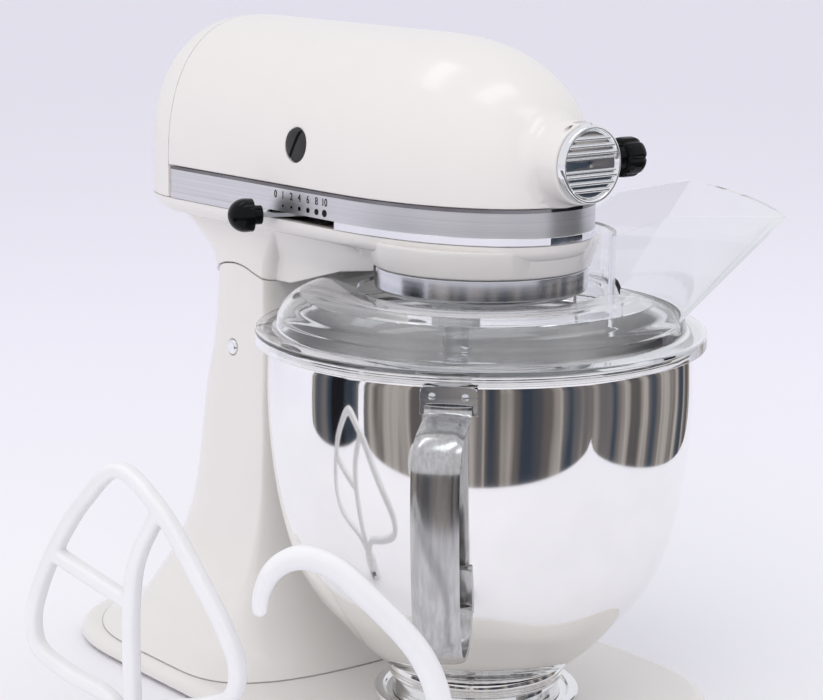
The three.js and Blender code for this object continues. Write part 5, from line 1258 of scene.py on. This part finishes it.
def make_lights():
    world = bpy.data.worlds.new("studio")
    bpy.context.scene.world = world
    world.use_nodes = True
    sky = world.node_tree.nodes["Background"]
    feed(world.node_tree, sky, {"Color": (0.88, 0.88, 0.92, 1), "Strength": 0.93})
    target = row((-40, 0, 160))
    for name, spot, wide, power, colour in (
        ("key", (500, -900, 1500), 1400, 7, (1.0, 0.97, 0.93)),
        ("fill", (-1100, -700, 900), 1300, 1, (0.95, 0.97, 1.0)),
        ("back", (200, 1300, 1300), 1300, 2, (0.95, 0.96, 1.0)),
    ):
        data = bpy.data.lights.new(name, "AREA")
        data.shape = "DISK"
        data.size = wide * MM
        data.energy = power
        data.color = colour
        lamp = placed(name, data)
        lamp.location = row(spot)
        lamp.visible_glossy = False
        lamp.rotation_euler = (target - lamp.location).to_track_quat("-Z", "Y").to_euler()


def card(name, points, faces, colours, strength, stripes):
    """A panel that only reflections see."""
    obj = new_object(name, points, faces)
    made, tree, shader = nodes_of(name)
    tree.nodes.remove(shader)
    tint = ramp(tree, noise(tree, stripes, 3), colours)
    glow = node(tree, "Emission", {"Strength": strength, "Color": tint})
    feed(tree, tree.nodes["Material Output"], {"Surface": glow.outputs["Emission"]})
    obj.data.materials.append(made)
    obj.visible_camera = obj.visible_diffuse = obj.visible_shadow = obj.visible_transmission = False


def round_card(name, angles, edges, top, stripes):
    """A dark striped card on a circle round the machine, from a lower edge at each angle up to one height."""
    radius = 420
    stops = [
        (0.34, (0.012, 0.012, 0.016)), (0.43, (0.05, 0.065, 0.09)), (0.49, (0.17, 0.155, 0.155)),
        (0.53, (0.42, 0.39, 0.37)), (0.57, (0.13, 0.115, 0.11)), (0.66, (0.04, 0.05, 0.07))]
    points = []
    for angle, edge in zip(angles, edges):
        x, y = radius * math.cos(angle), radius * math.sin(angle)
        points += [(x, y, edge), (x, y, top)]
    faces = [(2 * i - 2, 2 * i, 2 * i + 1, 2 * i - 1) for i in range(1, len(angles))]
    card(name, points, faces, stops, 1.0, stripes)


def make_cards():
    towards, steps = YAW - math.pi / 2, 60
    shares = [i / steps for i in range(steps + 1)]
    for name, first, last, low, dip in (
        ("room_a", -57, 52, 7, 70), ("room_b", 52, 136, 25, 45), ("room_c", -90, -60, 52, 30),
    ):
        angles = [towards + math.radians(first + (last - first) * share) for share in shares]
        edges = [low + dip * (1 - math.sqrt(max(0.0, 1 - (2 * share - 1) ** 2))) for share in shares]
        round_card(name, angles, edges, 189, (6, 6, 0.4))
    # What stands beside the nose, which the hub cover mirrors.
    angles = [math.radians(18 + 6 * i) for i in range(9)]
    round_card("room_d", angles, [195] * len(angles), 300, (4, 4, 14))
    for name, x, y, half_x, half_y in (
        ("window_a", -260, -180, 60, 200), ("window_b", 120, -60, 70, 220), ("window_c", 420, 160, 60, 180),
    ):
        left, right, near, far = x - half_x, x + half_x, y - half_y, y + half_y
        points = [(px, py, 900) for px, py in ((left, near), (right, near), (right, far), (left, far))]
        card(name, points, [(0, 1, 2, 3)], [(0.3, (1, 1, 1)), (0.7, (0.9, 0.95, 1))], 2.6, 3)


for make in (
    make_camera, make_base, make_column, make_housing, make_gear_case, make_band, make_scale,
    make_speed_knob, make_brush_caps, make_hub, make_shaft, make_bowl, make_strap, make_strap_plate,
    make_shield, make_beater, make_hook, make_floor, make_lights, make_cards,
):
    make()
bpy.context.scene.view_settings.view_transform = "Standard"
